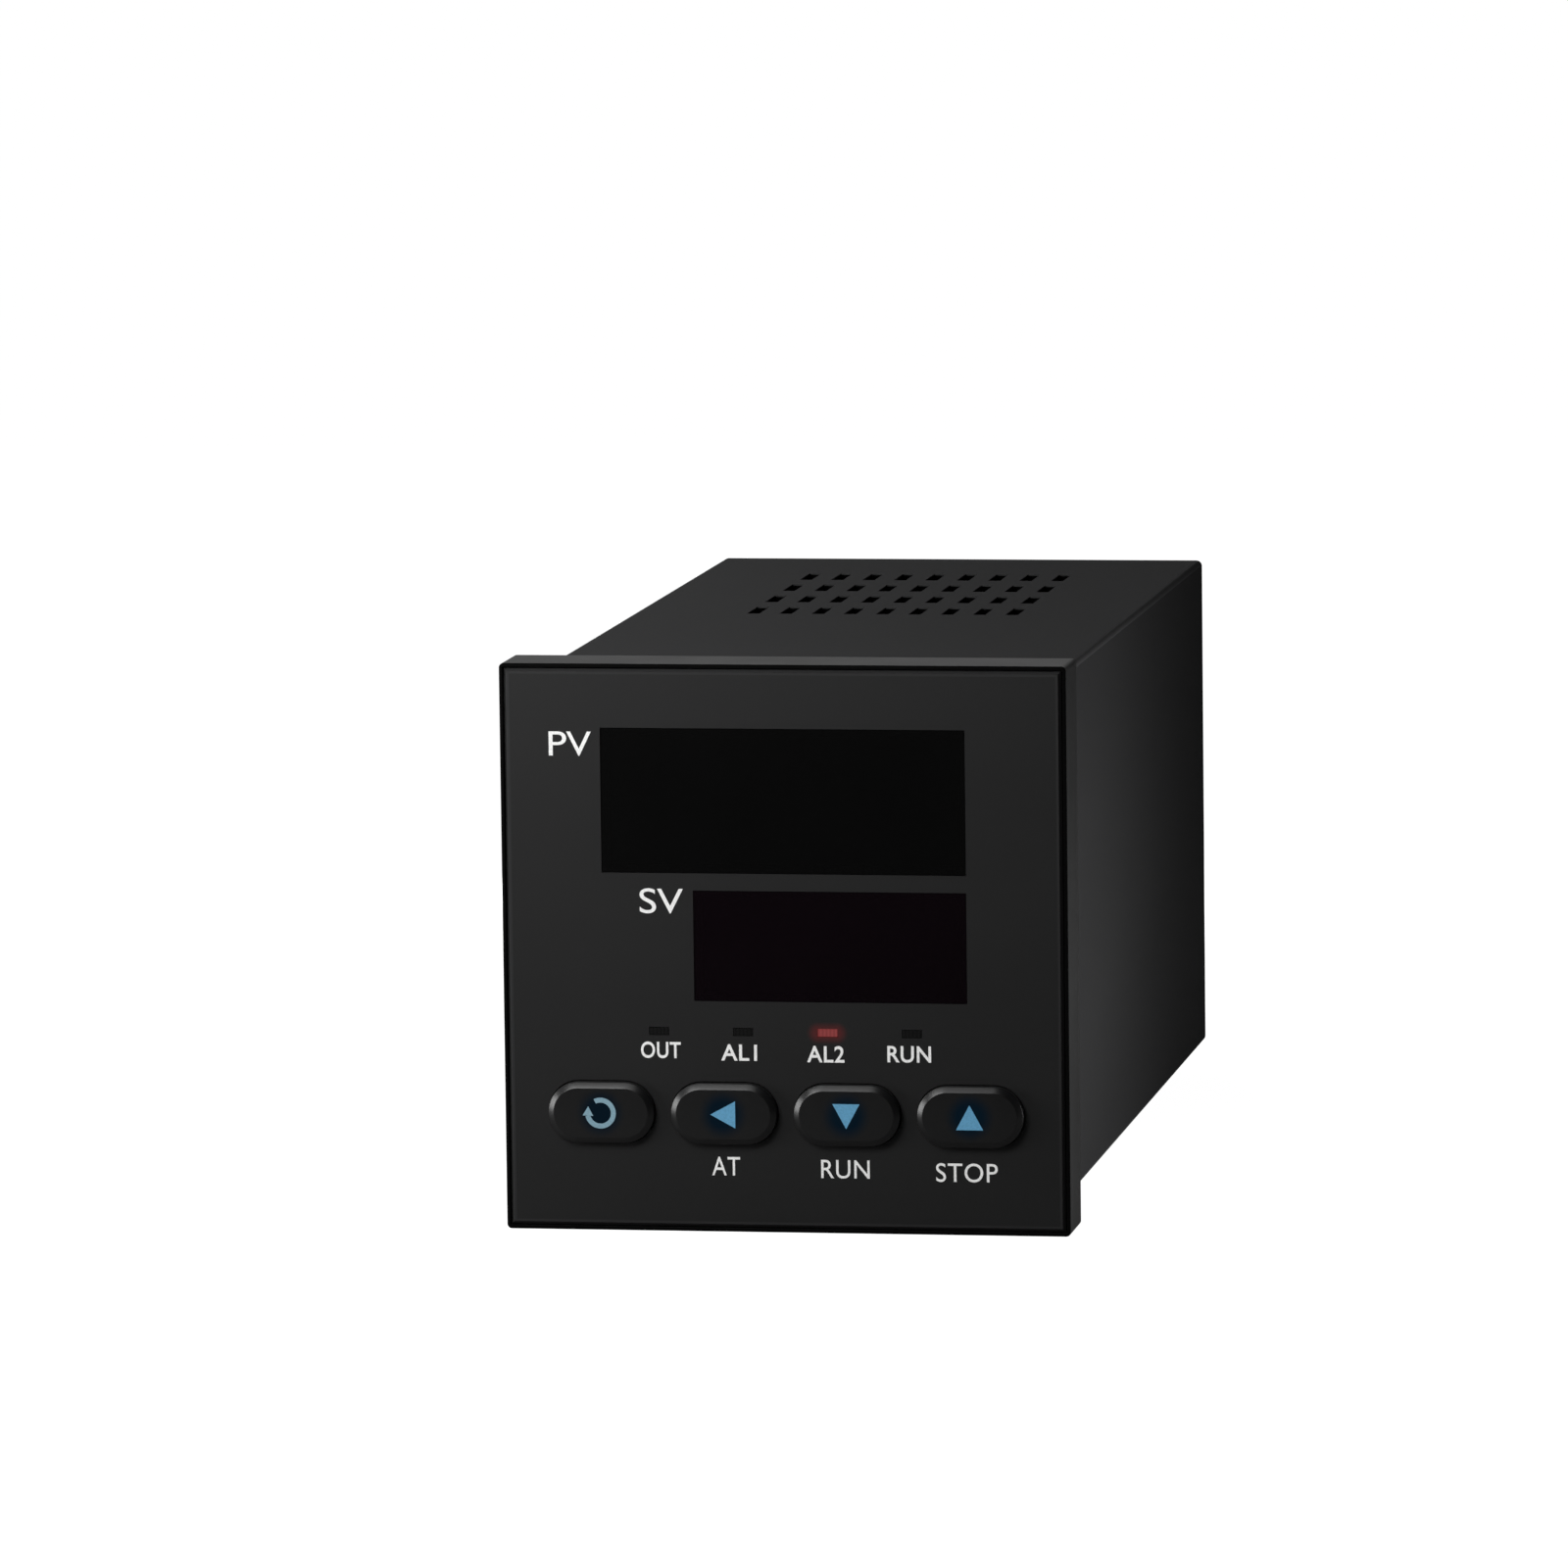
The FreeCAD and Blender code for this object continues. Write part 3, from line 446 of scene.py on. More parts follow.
@dataclass(frozen=True)
class LitKey(Moulded):
    """A key's plastic, with a painted blue glow round its symbol and painted light on its sides.
    """

    centre: Span = (0.0, 0.0)
    top: float = 0.0
    wall_painted_light_colour: Colour = (0.03, 0.03, 0.0305)
    halo_glow: Colour = (0.0012, 0.0062, 0.0125)
    halo_fall: Span = (0.9, 2.25)
    halo_roughness: float = 0.9
    halo_specular: float = 0.05

    def shader(self, sheet: NodeSheet) -> Wire:
        """The plastic with its painted glow and its painted light on the sides.

        The painted glow fades out round the symbol's centre. The sides, painted paler as light
        that fills the shade of the gap round the key, are all that lies behind the top's level.

        Args:
            sheet: The material's sheet.

        Returns:
            The shader.
        """
        inputs = self.surface(sheet)
        across, back, up = sheet.axes()
        # Painted light: the sides are paler than the top, to fill the shade in the gap round the
        # key.
        inputs["Base Color"] = sheet.mix(back > self.top, inputs["Base Color"],
                                         self.wall_painted_light_colour)
        beside, above = across - self.centre[0], up - self.centre[1]
        # Painted light: a dark blue glow round the symbol, as emission.
        mask = distance(beside, above).falling(*self.halo_fall)
        halo_shader = sheet.principled({
            "Base Color": BLACK, "Roughness": self.halo_roughness,
            "Specular IOR Level": self.halo_specular, "Emission Color": self.halo_glow,
            "Emission Strength": 1.0})
        return sheet.add("ShaderNodeMixShader", sockets={
            0: mask, 1: sheet.principled(inputs), 2: halo_shader})


@dataclass(frozen=True)
class Ink(Finish):
    """Screen-printed ink: flat, matt and a little uneven."""

    colour: Colour
    roughness: float = 0.6
    specular: float = 0.3
    # Painted light: an emission that makes the ink brighter than the lamps alone make it.
    glow: float = 0.0
    speck: float = 0.12
    speck_fall: Span = (0.35, 0.6)
    thinned: float = 0.86
    thickness: float = 0.003

    def shader(self, sheet: NodeSheet) -> Wire:
        """The ink, thinner in small specks.

        Args:
            sheet: The material's sheet.

        Returns:
            The shader.
        """
        specks = sheet.noise(self.speck, 3.0)
        colour = sheet.mix(specks.falling(*self.speck_fall), self.colour,
                           shade(self.colour, self.thinned))
        return sheet.principled({
            "Base Color": colour, "Roughness": self.roughness + 0.1 * (specks - 0.5),
            "Specular IOR Level": self.specular, "Emission Color": colour,
            "Emission Strength": self.glow, "Normal": sheet.bump(specks, self.thickness)})


@dataclass(frozen=True)
class SmokedWindow(Finish):
    """Dark acrylic that lets a little of what is behind it show."""

    colour: Colour
    cover: float = 0.93
    roughness: float = 0.12
    specular: float = 0.02
    wave: float = 9.0
    wave_depth: float = 0.01
    paler: float = 1.3

    def shader(self, sheet: NodeSheet) -> Wire:
        """The acrylic, with a faint waviness.

        Args:
            sheet: The material's sheet.

        Returns:
            The shader.
        """
        waves = sheet.noise(self.wave, 1.0)
        return sheet.principled({
            "Base Color": sheet.mix(waves, self.colour, shade(self.colour, self.paler)),
            "Roughness": self.roughness + 0.05 * waves,
            "Specular IOR Level": self.specular, "Alpha": self.cover,
            "Normal": sheet.bump(waves, self.wave_depth)})


@dataclass(frozen=True)
class Lens(Finish):
    """Light pipe, dark when off and glowing when lit."""

    colour: Colour
    glow: Colour = BLACK
    roughness: float = 0.3
    specular: float = 0.2
    pitch: float = 0.32
    rib_depth: float = 0.01
    paler: float = 1.4
    between: float = 0.75

    def shader(self, sheet: NodeSheet) -> Wire:
        """The pipe, with fine upright ribs that spread the light.

        Args:
            sheet: The material's sheet.

        Returns:
            The shader.
        """
        across, _, _ = sheet.axes()
        ribs = across.math("PINGPONG", self.pitch / 2) / (self.pitch / 2)
        return sheet.principled({
            "Base Color": sheet.mix(ribs, self.colour, shade(self.colour, self.paler)),
            "Roughness": self.roughness + 0.1 * ribs, "Specular IOR Level": self.specular,
            "Emission Color": sheet.mix(ribs, shade(self.glow, self.between), self.glow),
            "Emission Strength": 1.0, "Normal": sheet.bump(ribs, self.rib_depth)})


@dataclass(frozen=True)
class Metal(Finish):
    """Plated metal with fine drawn or turned marks."""

    colour: Colour
    roughness: float = 0.32
    streak: Point = (1.0, 1.0, 1.0)
    cloud: float = 1.4
    mark: float = 0.08
    mark_depth: float = 0.003
    dull: float = 0.78

    def shader(self, sheet: NodeSheet) -> Wire:
        """The plating, clouded in patches.

        Args:
            sheet: The material's sheet.

        Returns:
            The shader.
        """
        clouds = sheet.noise(self.cloud, 3.0)
        marks = sheet.noise(self.mark, 2.0, self.streak)
        return sheet.principled({
            "Base Color": sheet.mix(clouds, shade(self.colour, self.dull), self.colour),
            "Metallic": 1.0,
            "Roughness": self.roughness + 0.2 * (clouds - 0.5) + 0.1 * (marks - 0.5),
            "Normal": sheet.bump(marks, self.mark_depth)})


@dataclass(frozen=True)
class CircuitBoard(Finish):
    """Green solder mask over copper tracks, with a bare glass-fibre edge."""

    mask: Colour = (0.006, 0.055, 0.02)
    track: Colour = (0.02, 0.13, 0.045)
    roughness: float = 0.34
    specular: float = 0.4
    pitch: float = 1.27
    gap_share: float = 0.62
    region: float = 6.0
    track_height: float = 0.03

    def shader(self, sheet: NodeSheet) -> Wire:
        """The board.

        Tracks are the parts of two crossed sets of stripes that noise lets through.

        Args:
            sheet: The material's sheet.

        Returns:
            The shader.
        """
        across, back, up = sheet.axes()
        half = self.pitch / 2
        stripes_up = up.math("PINGPONG", half) > half * self.gap_share
        stripes_back = (across + back).math("PINGPONG", half) > half * self.gap_share
        regions = sheet.noise(self.region, 0.0) > 0.5
        tracks = regions * stripes_up + (1 - regions) * stripes_back
        return sheet.principled({
            "Base Color": sheet.mix(tracks, self.mask, self.track),
            "Roughness": self.roughness + 0.08 * tracks,
            "Specular IOR Level": self.specular,
            "Normal": sheet.bump(tracks, self.track_height)})


@dataclass(frozen=True)
class Winding(Finish):
    """Enamelled wire laid in even turns."""

    colour: Colour = (0.32, 0.09, 0.02)
    metallic: float = 0.6
    roughness: float = 0.35
    pitch: float = 0.35
    depth: float = 0.1
    # Share of the colour left in the grooves between turns, as painted shade.
    between: float = 0.35

    def shader(self, sheet: NodeSheet) -> Wire:
        """The turns, rounded by a bump along the coil's axis and painted darker in the grooves
        between them as shade.

        Args:
            sheet: The material's sheet.

        Returns:
            The shader.
        """
        across, _, _ = sheet.axes()
        turns = across.math("PINGPONG", self.pitch / 2) / (self.pitch / 2)
        return sheet.principled({
            # Painted shade: the colour darkens in the grooves between turns.
            "Base Color": sheet.mix(turns, shade(self.colour, self.between), self.colour),
            "Metallic": self.metallic, "Roughness": self.roughness + 0.15 * (1 - turns),
            "Normal": sheet.bump(turns, self.depth)})


# Meshes from arrays

def quads(rows: int, columns: int, wrap: bool = False) -> Array:
    """Corner numbers of the quads of a grid of points.

    Quad (i, j) joins the points (i, j), (i, j + 1), (i + 1, j + 1) and (i + 1, j). With
    wrap, the last column is joined to the first.

    Args:
        rows: Rows of the grid.
        columns: Columns of the grid.
        wrap: Whether each row is a closed ring.

    Returns:
        One row of four numbers for each quad.
    """
    i = np.arange(rows - 1)[:, None]
    j = np.arange(columns if wrap else columns - 1)[None, :]
    after = (j + 1) % columns
    corners = np.stack([i * columns + j, i * columns + after,
                        (i + 1) * columns + after, (i + 1) * columns + j], axis=-1)
    return corners.reshape(-1, 4)


def ring_surface(rings: Array) -> Surface:
    """A surface through closed rings, by ring, place along the ring and axis."""
    count, around, _ = rings.shape
    return rings.reshape(-1, 3), quads(count, around, wrap=True)


def slab(front: Array, thickness: Array) -> Surface:
    """A closed slab: a grid of points, the same grid moved back, and a wall between them.

    Args:
        front: Points by row, column and axis.
        thickness: The move from the front to the back.

    Returns:
        Points and quads.
    """
    rows, columns, _ = front.shape
    number = np.arange(rows * columns).reshape(rows, columns)
    edge = np.concatenate([number[0, :], number[1:, -1], number[-1, -2::-1], number[-2:0:-1, 0]])
    after = np.roll(edge, -1)
    step = rows * columns
    faces = quads(rows, columns)
    wall = np.stack([edge, after, after + step, edge + step], axis=-1)
    points = np.concatenate([front.reshape(-1, 3), front.reshape(-1, 3) + thickness])
    return points, np.concatenate([faces, faces[:, ::-1] + step, wall])


def stadium_ring(straight: float, radius: float, count: int) -> Array:
    """A stadium in the plane: a circle whose right and left halves are moved apart.

    At the angle t the point is (r cos t + s, r sin t), where s is half the straight
    length on the right half and minus that on the left half.

    Args:
        straight: Length of each straight side.
        radius: Radius of each end.
        count: Points round the ring, a multiple of four.

    Returns:
        Points across and up.
    """
    half = count // 2
    turn = np.linspace(-math.pi / 2, math.pi / 2, half)
    angle = np.concatenate([turn, turn + math.pi])
    shift = np.repeat([straight / 2, -straight / 2], half)
    return np.stack([radius * np.cos(angle) + shift, radius * np.sin(angle)], axis=-1)


def link_new(name: str, data: bpy.types.ID) -> bpy.types.Object:
    """Put data into the scene as a new object.

    Args:
        name: The object's name.
        data: A mesh, curve, lamp or camera.

    Returns:
        The new object.
    """
    made = bpy.data.objects.new(name, data)
    bpy.context.scene.collection.objects.link(made)
    return made


def piece(name: str, shape: Surface | bpy.types.Mesh, material: Material,
          body: str, sharp: float = 35.0) -> bpy.types.Object:
    """A finished piece: cleaned, with its faces turned outwards, and hung on its body.

    Args:
        name: The piece's name.
        shape: A surface in millimetres, or a mesh in metres.
        material: Its finish.
        body: The CAD body that it rides on.
        sharp: Edges that turn more than this many degrees stay sharp.

    Returns:
        The new object.
    """
    mesh = shape
    if isinstance(shape, tuple):
        mesh = bpy.data.meshes.new(name)
        mesh.from_pydata((shape[0] * MM).tolist(), [], shape[1].tolist())
    work = bmesh.new()
    work.from_mesh(mesh)
    bmesh.ops.remove_doubles(work, verts=work.verts, dist=MERGE_DISTANCE)
    bmesh.ops.dissolve_degenerate(work, edges=work.edges, dist=MERGE_DISTANCE)
    bmesh.ops.recalc_face_normals(work, faces=work.faces)
    work.to_mesh(mesh)
    work.free()
    mesh.shade_smooth()
    mesh.set_sharp_from_angle(angle=math.radians(sharp))
    mesh.materials.append(material)
    made = link_new(name, mesh)
    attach(made, body)
    log.info("%s: %d faces on %s", name, len(mesh.polygons), body)
    return made


def joined(parts: Sequence[Surface]) -> Surface:
    """Several surfaces as one."""
    starts = np.cumsum([0] + [len(points) for points, _ in parts])[:-1]
    return (np.concatenate([points for points, _ in parts]),
            np.concatenate([faces + start for (_, faces), start in zip(parts, starts)]))


def node_box(name: str) -> tuple[Array, Array]:
    """A CAD node's lowest and highest corner in millimetres."""
    low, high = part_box(name)
    return np.array(low) / MM, np.array(high) / MM


def coat(material: Material, *names: str) -> None:
    """Give CAD nodes a finish.

    Args:
        material: The finish.
        names: The nodes' names.
    """
    for name in names:
        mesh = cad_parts[name].data
        mesh.materials.clear()
        mesh.materials.append(material)
        log.info("%s: %s", name, material.name)


# Words and symbols

class Facing(Enum):
    """The way that a printed face looks."""

    FRONT = "front"
    REAR = "rear"


@dataclass(frozen=True)
class Word:
    """One printed word: its middle and its size in millimetres.

    The weight is what its strokes gain on each side, in letter sizes. The spacing is the
    step from letter to letter as a share of the font's own.
    """

    name: str
    text: str
    across: float
    up: float
    width: float
    height: float
    weight: float = 0.0
    spacing: float = 1.06


@dataclass
class Printer:
    """Prints words as thin raised ink on the front or the rear."""

    material: Material
    slot: str
    thickness: float = 0.02
    curve_steps: int = 6
    sharp: float = 20.0

    def print_word(self, word: Word, depth: float, facing: Facing = Facing.FRONT) -> None:
        """Set a word's outline in ink on a plane across Y.

        Args:
            word: What is printed and where.
            depth: Y of the printed plane, in millimetres.
            facing: Which way the word reads.
        """
        curve = bpy.data.curves.new(word.name, "FONT")
        curve.body = word.text
        curve.offset = word.weight
        curve.extrude = 0.5
        curve.space_character = word.spacing
        curve.resolution_u = self.curve_steps
        setter = link_new(word.name, curve)
        bpy.context.view_layer.update()
        ready = setter.evaluated_get(bpy.context.evaluated_depsgraph_get())
        mesh = bpy.data.meshes.new_from_object(ready)
        bpy.data.objects.remove(setter)
        points = np.empty(len(mesh.vertices) * 3, np.float32)
        mesh.vertices.foreach_get("co", points)
        points = points.reshape(-1, 3)
        low, high = points.min(0), points.max(0)
        middle, span = (low + high) / 2, high - low
        unit = (points - middle) / span
        side = 1.0 if facing is Facing.FRONT else -1.0
        placed = np.stack([
            word.across + side * word.width * unit[:, 0],
            depth - side * self.thickness * (unit[:, 2] + 0.5),
            word.up + word.height * unit[:, 1]], axis=-1)
        mesh.vertices.foreach_set("co", (placed * MM).astype(np.float32).ravel())
        mesh.materials.clear()
        piece(word.name, mesh, self.material, HOUSING, self.sharp)


# The front

@dataclass
class Front:
    """Bezel, face plate and the words printed on it."""

    face_depth: float = -6.5
    # Name, text, middle across and up, width, height, weight and spacing
    words: tuple[Word, ...] = (
        Word("word_pv", "PV", -18.0, 17.25, 3.6, 2.06, -0.001, 0.98),
        Word("word_sv", "SV", -10.4, 4.03, 3.7, 2.12, 0.0, 0.98),
        Word("word_at", "AT", -5.17, -18.4, 2.38, 1.58, 0.002),
        Word("word_run", "RUN", 4.98, -18.53, 4.12, 1.57, 0.002),
        Word("word_stop", "STOP", 15.28, -18.68, 5.22, 1.6, 0.002),
        Word("word_output", "OUT", -10.6, -8.6, 3.4, 1.4, 0.015),
        Word("word_alarm_1", "AL1", -3.94, -8.74, 3.05, 1.38, 0.015),
        Word("word_alarm_2", "AL2", 3.42, -8.79, 3.17, 1.4, 0.015),
        Word("word_running", "RUN", 10.5, -8.72, 3.7, 1.4, 0.015),
    )

    def build(self) -> None:
        """Coat the bezel and the plate, then print the words."""
        coat(DarkReflectionRim("bezel_plastic", (0.0085, 0.0085, 0.0087), roughness=0.42,
                         specular=0.8).material(), "front_bezel")
        coat(FacePlate("face_film", (0.01, 0.01, 0.0102), roughness=0.55, specular=0.29,
                       grain=0.22, depth=0.003, mottle=0.1, patch=9.0,
                       streak=(3.0, 1.0, 1.0)).material(), "face_plate")
        # The white ink's glow is painted light that brightens the words.
        printer = Printer(Ink("white_ink", (0.86, 0.86, 0.85), glow=0.2).material(), "face")
        for word in self.words:
            printer.print_word(word, self.face_depth)


@dataclass
class Display:
    """One four-digit module behind its smoked window."""

    which: str
    digit_height: float
    pitch: float
    off_colour: Colour
    window_colour: Colour
    slant: float = 0.14
    stroke: float = 0.13
    gap: float = 0.02
    shape: float = 0.56
    rise: float = 0.03
    digits: int = 4

    def bar(self, start: Span, end: Span) -> Array:
        """One segment: a bar whose ends are pointed at 45 degrees.

        Along the bar from 0 to 1, its half width is the least of half a stroke and the
        distance to the nearer end.

        Args:
            start: One tip, across and up, in digit heights.
            end: The other tip.

        Returns:
            A grid of points across and up.
        """
        tips = np.array([start, end], float)
        run = tips[1] - tips[0]
        length = float(np.hypot(*run))
        half = self.stroke / 2
        along = np.array([self.gap, self.gap + half, length - self.gap - half, length - self.gap])
        width = np.array([0.0, half, half, 0.0])
        forward = run / length
        sideways = np.array([-forward[1], forward[0]])
        line = tips[0] + along[:, None] * forward
        return line[:, None, :] + np.array([-1.0, 1.0])[None, :, None] * (
            width[:, None, None] * sideways)

    def digit(self, centre: float, up: float, depth: float) -> list[Surface]:
        """The seven bars of one digit, leaning to the right.

        Args:
            centre: Middle of the digit across, in millimetres.
            up: Middle of the digit upwards.
            depth: Y of the module's face.

        Returns:
            Points and faces of each bar.
        """
        w, h = self.shape / 2, 0.5
        ends = [((-w, h), (w, h)), ((-w, 0), (w, 0)), ((-w, -h), (w, -h)),
                ((-w, 0), (-w, h)), ((w, 0), (w, h)), ((-w, -h), (-w, 0)), ((w, -h), (w, 0))]
        size = self.digit_height * (1 - self.stroke)
        bars = []
        for start, end in ends:
            flat = self.bar(start, end) * size
            x = centre + flat[..., 0] + self.slant * flat[..., 1]
            front = np.stack([x, np.full_like(x, depth - self.rise), up + flat[..., 1]], axis=-1)
            bars.append(slab(front, np.array([0.0, self.rise, 0.0])))
        return bars

    def build(self) -> None:
        """Coat the module and its window, and add the unlit digits."""
        name = f"{self.which}_display"
        low, high = node_box(name)
        coat(Moulded(f"{name}_resin", (0.004, 0.004, 0.004), roughness=0.7,
                     specular=0.1).material(), name)
        window = f"{self.which}_window"
        coat(SmokedWindow(f"{window}_acrylic", self.window_colour).material(), window)
        middle = (low + high) / 2
        parts: list[Surface] = []
        for place in np.arange(self.digits) - (self.digits - 1) / 2:
            parts += self.digit(middle[0] + place * self.pitch, middle[2], low[1])
        resin = Moulded(f"{name}_segment", self.off_colour, roughness=0.5, specular=0.2)
        piece(f"{self.which}_digits", joined(parts), resin.material(), HOUSING)


# Keys

class Symbol(Enum):
    """The symbols on the four keys."""

    TURN = "turn"
    LEFT = "left"
    DOWN = "down"
    UP = "up"


@dataclass
class Key:
    """A raised key with a wide bevel, a flat top and a back-lit symbol.

    Lengths are in millimetres and angles in degrees.
    """

    number: int
    symbol: Symbol
    flange: float = 0.45
    flange_thickness: float = 0.7
    swell: float = 0.06
    bevel: float = 0.5
    bevel_tilt: float = 33.0
    bevel_ends: Span = (0.09, 0.16)
    around: int = 96
    arc_steps: int = 5
    sharp: float = 50.0
    top_depth: float = 0.45
    ink_rise: float = 0.015
    triangle_size: float = 2.3
    triangle_reach: Span = (-0.45, 0.47)
    ring_radius: float = 1.1
    ring_stroke: float = 0.42
    ring_ends: Span = (116.0, -168.0)
    ring_steps: int = 49
    head_width: float = 0.9
    head_reach: float = 0.8
    head_lead: float = 14.0

    def __post_init__(self) -> None:
        """Read the key's place from its CAD cap."""
        self.node = f"key_cap_{self.number}"
        self.body = f"key_{self.number}"
        low, high = node_box(self.node)
        self.front, self.rear = low[1] + self.ink_rise, high[1]
        self.centre = (low + high)[[0, 2]] / 2
        self.radius = (high - low)[2] / 2 - self.flange
        self.straight = (high - low)[0] - (high - low)[2]

    def profile(self) -> Array:
        """The cap's section: distance in from its side, and Y.

        From the flange's rear it runs out round the flange, up the side, over the bevel
        and in to the middle. The bevel is a straight line that a small arc joins to the
        side and a larger one to the top. At a point of an arc where the section's normal
        leans by an angle from the top's normal, the point is the arc's centre less its
        radius times the angle's sine and cosine.

        Returns:
            Points of distance and Y.
        """
        root = self.rear - self.flange_thickness
        outer, inner = self.bevel_ends
        tilt = math.radians(self.bevel_tilt)
        sine, cosine = math.sin(tilt), math.cos(tilt)
        inner_y = self.front + inner
        outer_y = inner_y - (inner - outer) * cosine + self.bevel * sine
        inner_x = outer * (1 - sine) + self.bevel * cosine + inner * sine
        turn = np.linspace(math.pi / 2, tilt, self.arc_steps)
        first = np.stack([outer - outer * np.sin(turn), outer_y - outer * np.cos(turn)], -1)
        turn = np.linspace(tilt, 0.0, self.arc_steps)
        last = np.stack([inner_x - inner * np.sin(turn), inner_y - inner * np.cos(turn)], -1)
        base = np.array([[self.radius, self.rear], [-self.flange, self.rear],
                         [-self.flange, root], [0.0, root]])
        over = np.concatenate([first, last]) - np.array([self.swell, 0.0])
        return np.concatenate([base, over, [[self.radius, self.front]]])

    def cap(self) -> Surface:
        """The cap's surface: a stadium ring at each point of the section.

        Returns:
            Points and faces.
        """
        rings = []
        for inward, depth in self.profile():
            ring = stadium_ring(self.straight, self.radius - inward, self.around)
            rings.append(np.stack([self.centre[0] + ring[:, 0], np.full(len(ring), depth),
                                   self.centre[1] + ring[:, 1]], axis=-1))
        return ring_surface(np.array(rings))

    def flat_slab(self, across: Array, up: Array) -> Surface:
        """A thin closed slab on the key's top.

        Args:
            across: Grid of places across, from the key's centre.
            up: Grid of places upwards.

        Returns:
            Points and faces.
        """
        front = np.stack([self.centre[0] + across,
                          np.full_like(across, self.front - self.ink_rise),
                          self.centre[1] + up], axis=-1)
        return slab(front, np.array([0.0, self.ink_rise, 0.0]))

    def turn_symbol(self) -> Surface:
        """A ring that is open on its upper left, with an arrow head at its left end.

        The ring is a band of one width between two angles. The head is a triangle that
        points along the ring's tangent a little ahead of the ring's end.

        Returns:
            Points and faces.
        """
        angle = np.radians(np.linspace(*self.ring_ends, self.ring_steps))[:, None]
        radius = self.ring_radius + self.ring_stroke * np.array([-0.5, 0.5])[None, :]
        band = self.flat_slab(radius * np.cos(angle), radius * np.sin(angle))
        end = angle[-1, 0]
        aim = end - math.radians(self.head_lead)
        out = np.array([math.cos(aim), math.sin(aim)])
        ahead = np.array([math.sin(aim), -math.cos(aim)])
        base = self.ring_radius * np.array([math.cos(end), math.sin(end)])
        half_width = out * self.head_width / 2
        tip = base + ahead * self.head_reach
        corners = np.array([[base - half_width, base + half_width], [tip, tip]])
        head = self.flat_slab(corners[..., 0], corners[..., 1])
        return joined([band, head])

    def triangle_symbol(self) -> Surface:
        """A triangle that points up, down or left.

        Returns:
            Points and faces.
        """
        half = self.triangle_size / 2
        low, high = (self.triangle_size * share for share in self.triangle_reach)
        corners = np.array([[[-half, low], [half, low]], [[0.0, high], [0.0, high]]])
        quarter_turns = {Symbol.UP: 0, Symbol.LEFT: 1, Symbol.DOWN: 2}[self.symbol]
        angle = quarter_turns * math.pi / 2
        across = corners[..., 0] * math.cos(angle) - corners[..., 1] * math.sin(angle)
        up = corners[..., 0] * math.sin(angle) + corners[..., 1] * math.cos(angle)
        return self.flat_slab(across, up)

    def build(self, ink: Material) -> None:
        """Make the cap and its symbol.

        Args:
            ink: The symbol's ink.
        """
        plastic = LitKey(f"key_{self.number}_plastic", (0.0048, 0.0048, 0.005),
                         roughness=0.31, specular=0.48, grain=0.14, depth=0.0015,
                         centre=tuple(self.centre), top=self.front + self.top_depth)
        cap = piece(f"key_{self.number}_cap", self.cap(), plastic.material(), self.body,
                    self.sharp)
        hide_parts(self.node)
        shape = self.turn_symbol() if self.symbol is Symbol.TURN else self.triangle_symbol()
        piece(f"key_{self.number}_symbol", shape, ink, self.body)


@dataclass
class Keypad:
    """The four keys with their plungers and switches."""

    symbols: tuple[Symbol, ...] = (Symbol.TURN, Symbol.LEFT, Symbol.DOWN, Symbol.UP)

    def build(self) -> None:
        """Make each key, then coat what is behind it."""
        # The symbol inks glow as painted light, as if the keys were back-lit.
        blue = Ink("blue_ink", (0.1, 0.29, 0.46), glow=0.33).material()
        pale = Ink("pale_blue_ink", (0.2, 0.33, 0.4), glow=0.25).material()
        for number, symbol in enumerate(self.symbols, start=1):
            Key(number, symbol).build(pale if symbol is Symbol.TURN else blue)
        numbers = range(1, len(self.symbols) + 1)
        coat(Moulded("switch_resin", (0.012, 0.012, 0.013), specular=0.4).material(),
             *(f"key_switch_{number}" for number in numbers))
        coat(Moulded("plunger_resin", (0.55, 0.54, 0.5), roughness=0.4).material(),
             *(f"switch_plunger_{number}" for number in numbers))


@dataclass
class Indicators:
    """Four light pipes, one of them lit, and the lamps behind them."""

    count: int = 4
    lit: int = 3

    def build(self) -> None:
        """Coat the pipes and the lamps."""
        dark = Lens("lens_off", (0.004, 0.004, 0.004)).material()
        lit = Lens("lens_on", (0.05, 0.01, 0.01), glow=(0.19, 0.036, 0.036)).material()
        for number in range(1, self.count + 1):
            coat(lit if number == self.lit else dark, f"indicator_lens_{number}")
        coat(Moulded("lamp_resin", (0.6, 0.58, 0.5), roughness=0.3).material(),
             "indicator_chips")


# Casing and what it holds

@dataclass
class Casing:
    """The moulded shell."""

    def build(self) -> None:
        """Coat the shell."""
        _, high = node_box("casing_shell")
        coat(Shell("casing_plastic", (0.051, 0.051, 0.052), roughness=0.6, specular=0.01,
                   grain=0.3, depth=0.008, mottle=0.08, patch=12.0, streak=(1.0, 3.0, 1.0),
                   half=(high[0], high[2])).material(), "casing_shell")


@dataclass
class Internals:
    """Boards and the parts soldered to them."""

    def build(self) -> None:
        """Give each part the finish of its kind."""
        for finish, *names in (
                (CircuitBoard("solder_mask"), "display_board", "power_board", "main_board"),
                (Moulded("header_resin", (0.01, 0.01, 0.01)),
                 "board_header_left", "board_header_right"),
                (Moulded("ferrite", (0.03, 0.029, 0.028), roughness=0.7, specular=0.4,
                         grain=0.4, depth=0.02), "transformer_core"),
                (Winding("enamelled_wire"), "transformer_coil"),
                (Moulded("relay_casing", (0.012, 0.05, 0.16), roughness=0.4),
                 "power_relay", "alarm_relay"),
                (Moulded("capacitor_sleeve", (0.012, 0.016, 0.03), roughness=0.3,
                         specular=0.5), "input_capacitor", "output_capacitor"),
                (Moulded("chip_resin", (0.014, 0.014, 0.014), roughness=0.6, grain=0.08,
                         depth=0.006), "processor_chip")):
            coat(finish.material(), *names)


# Rear

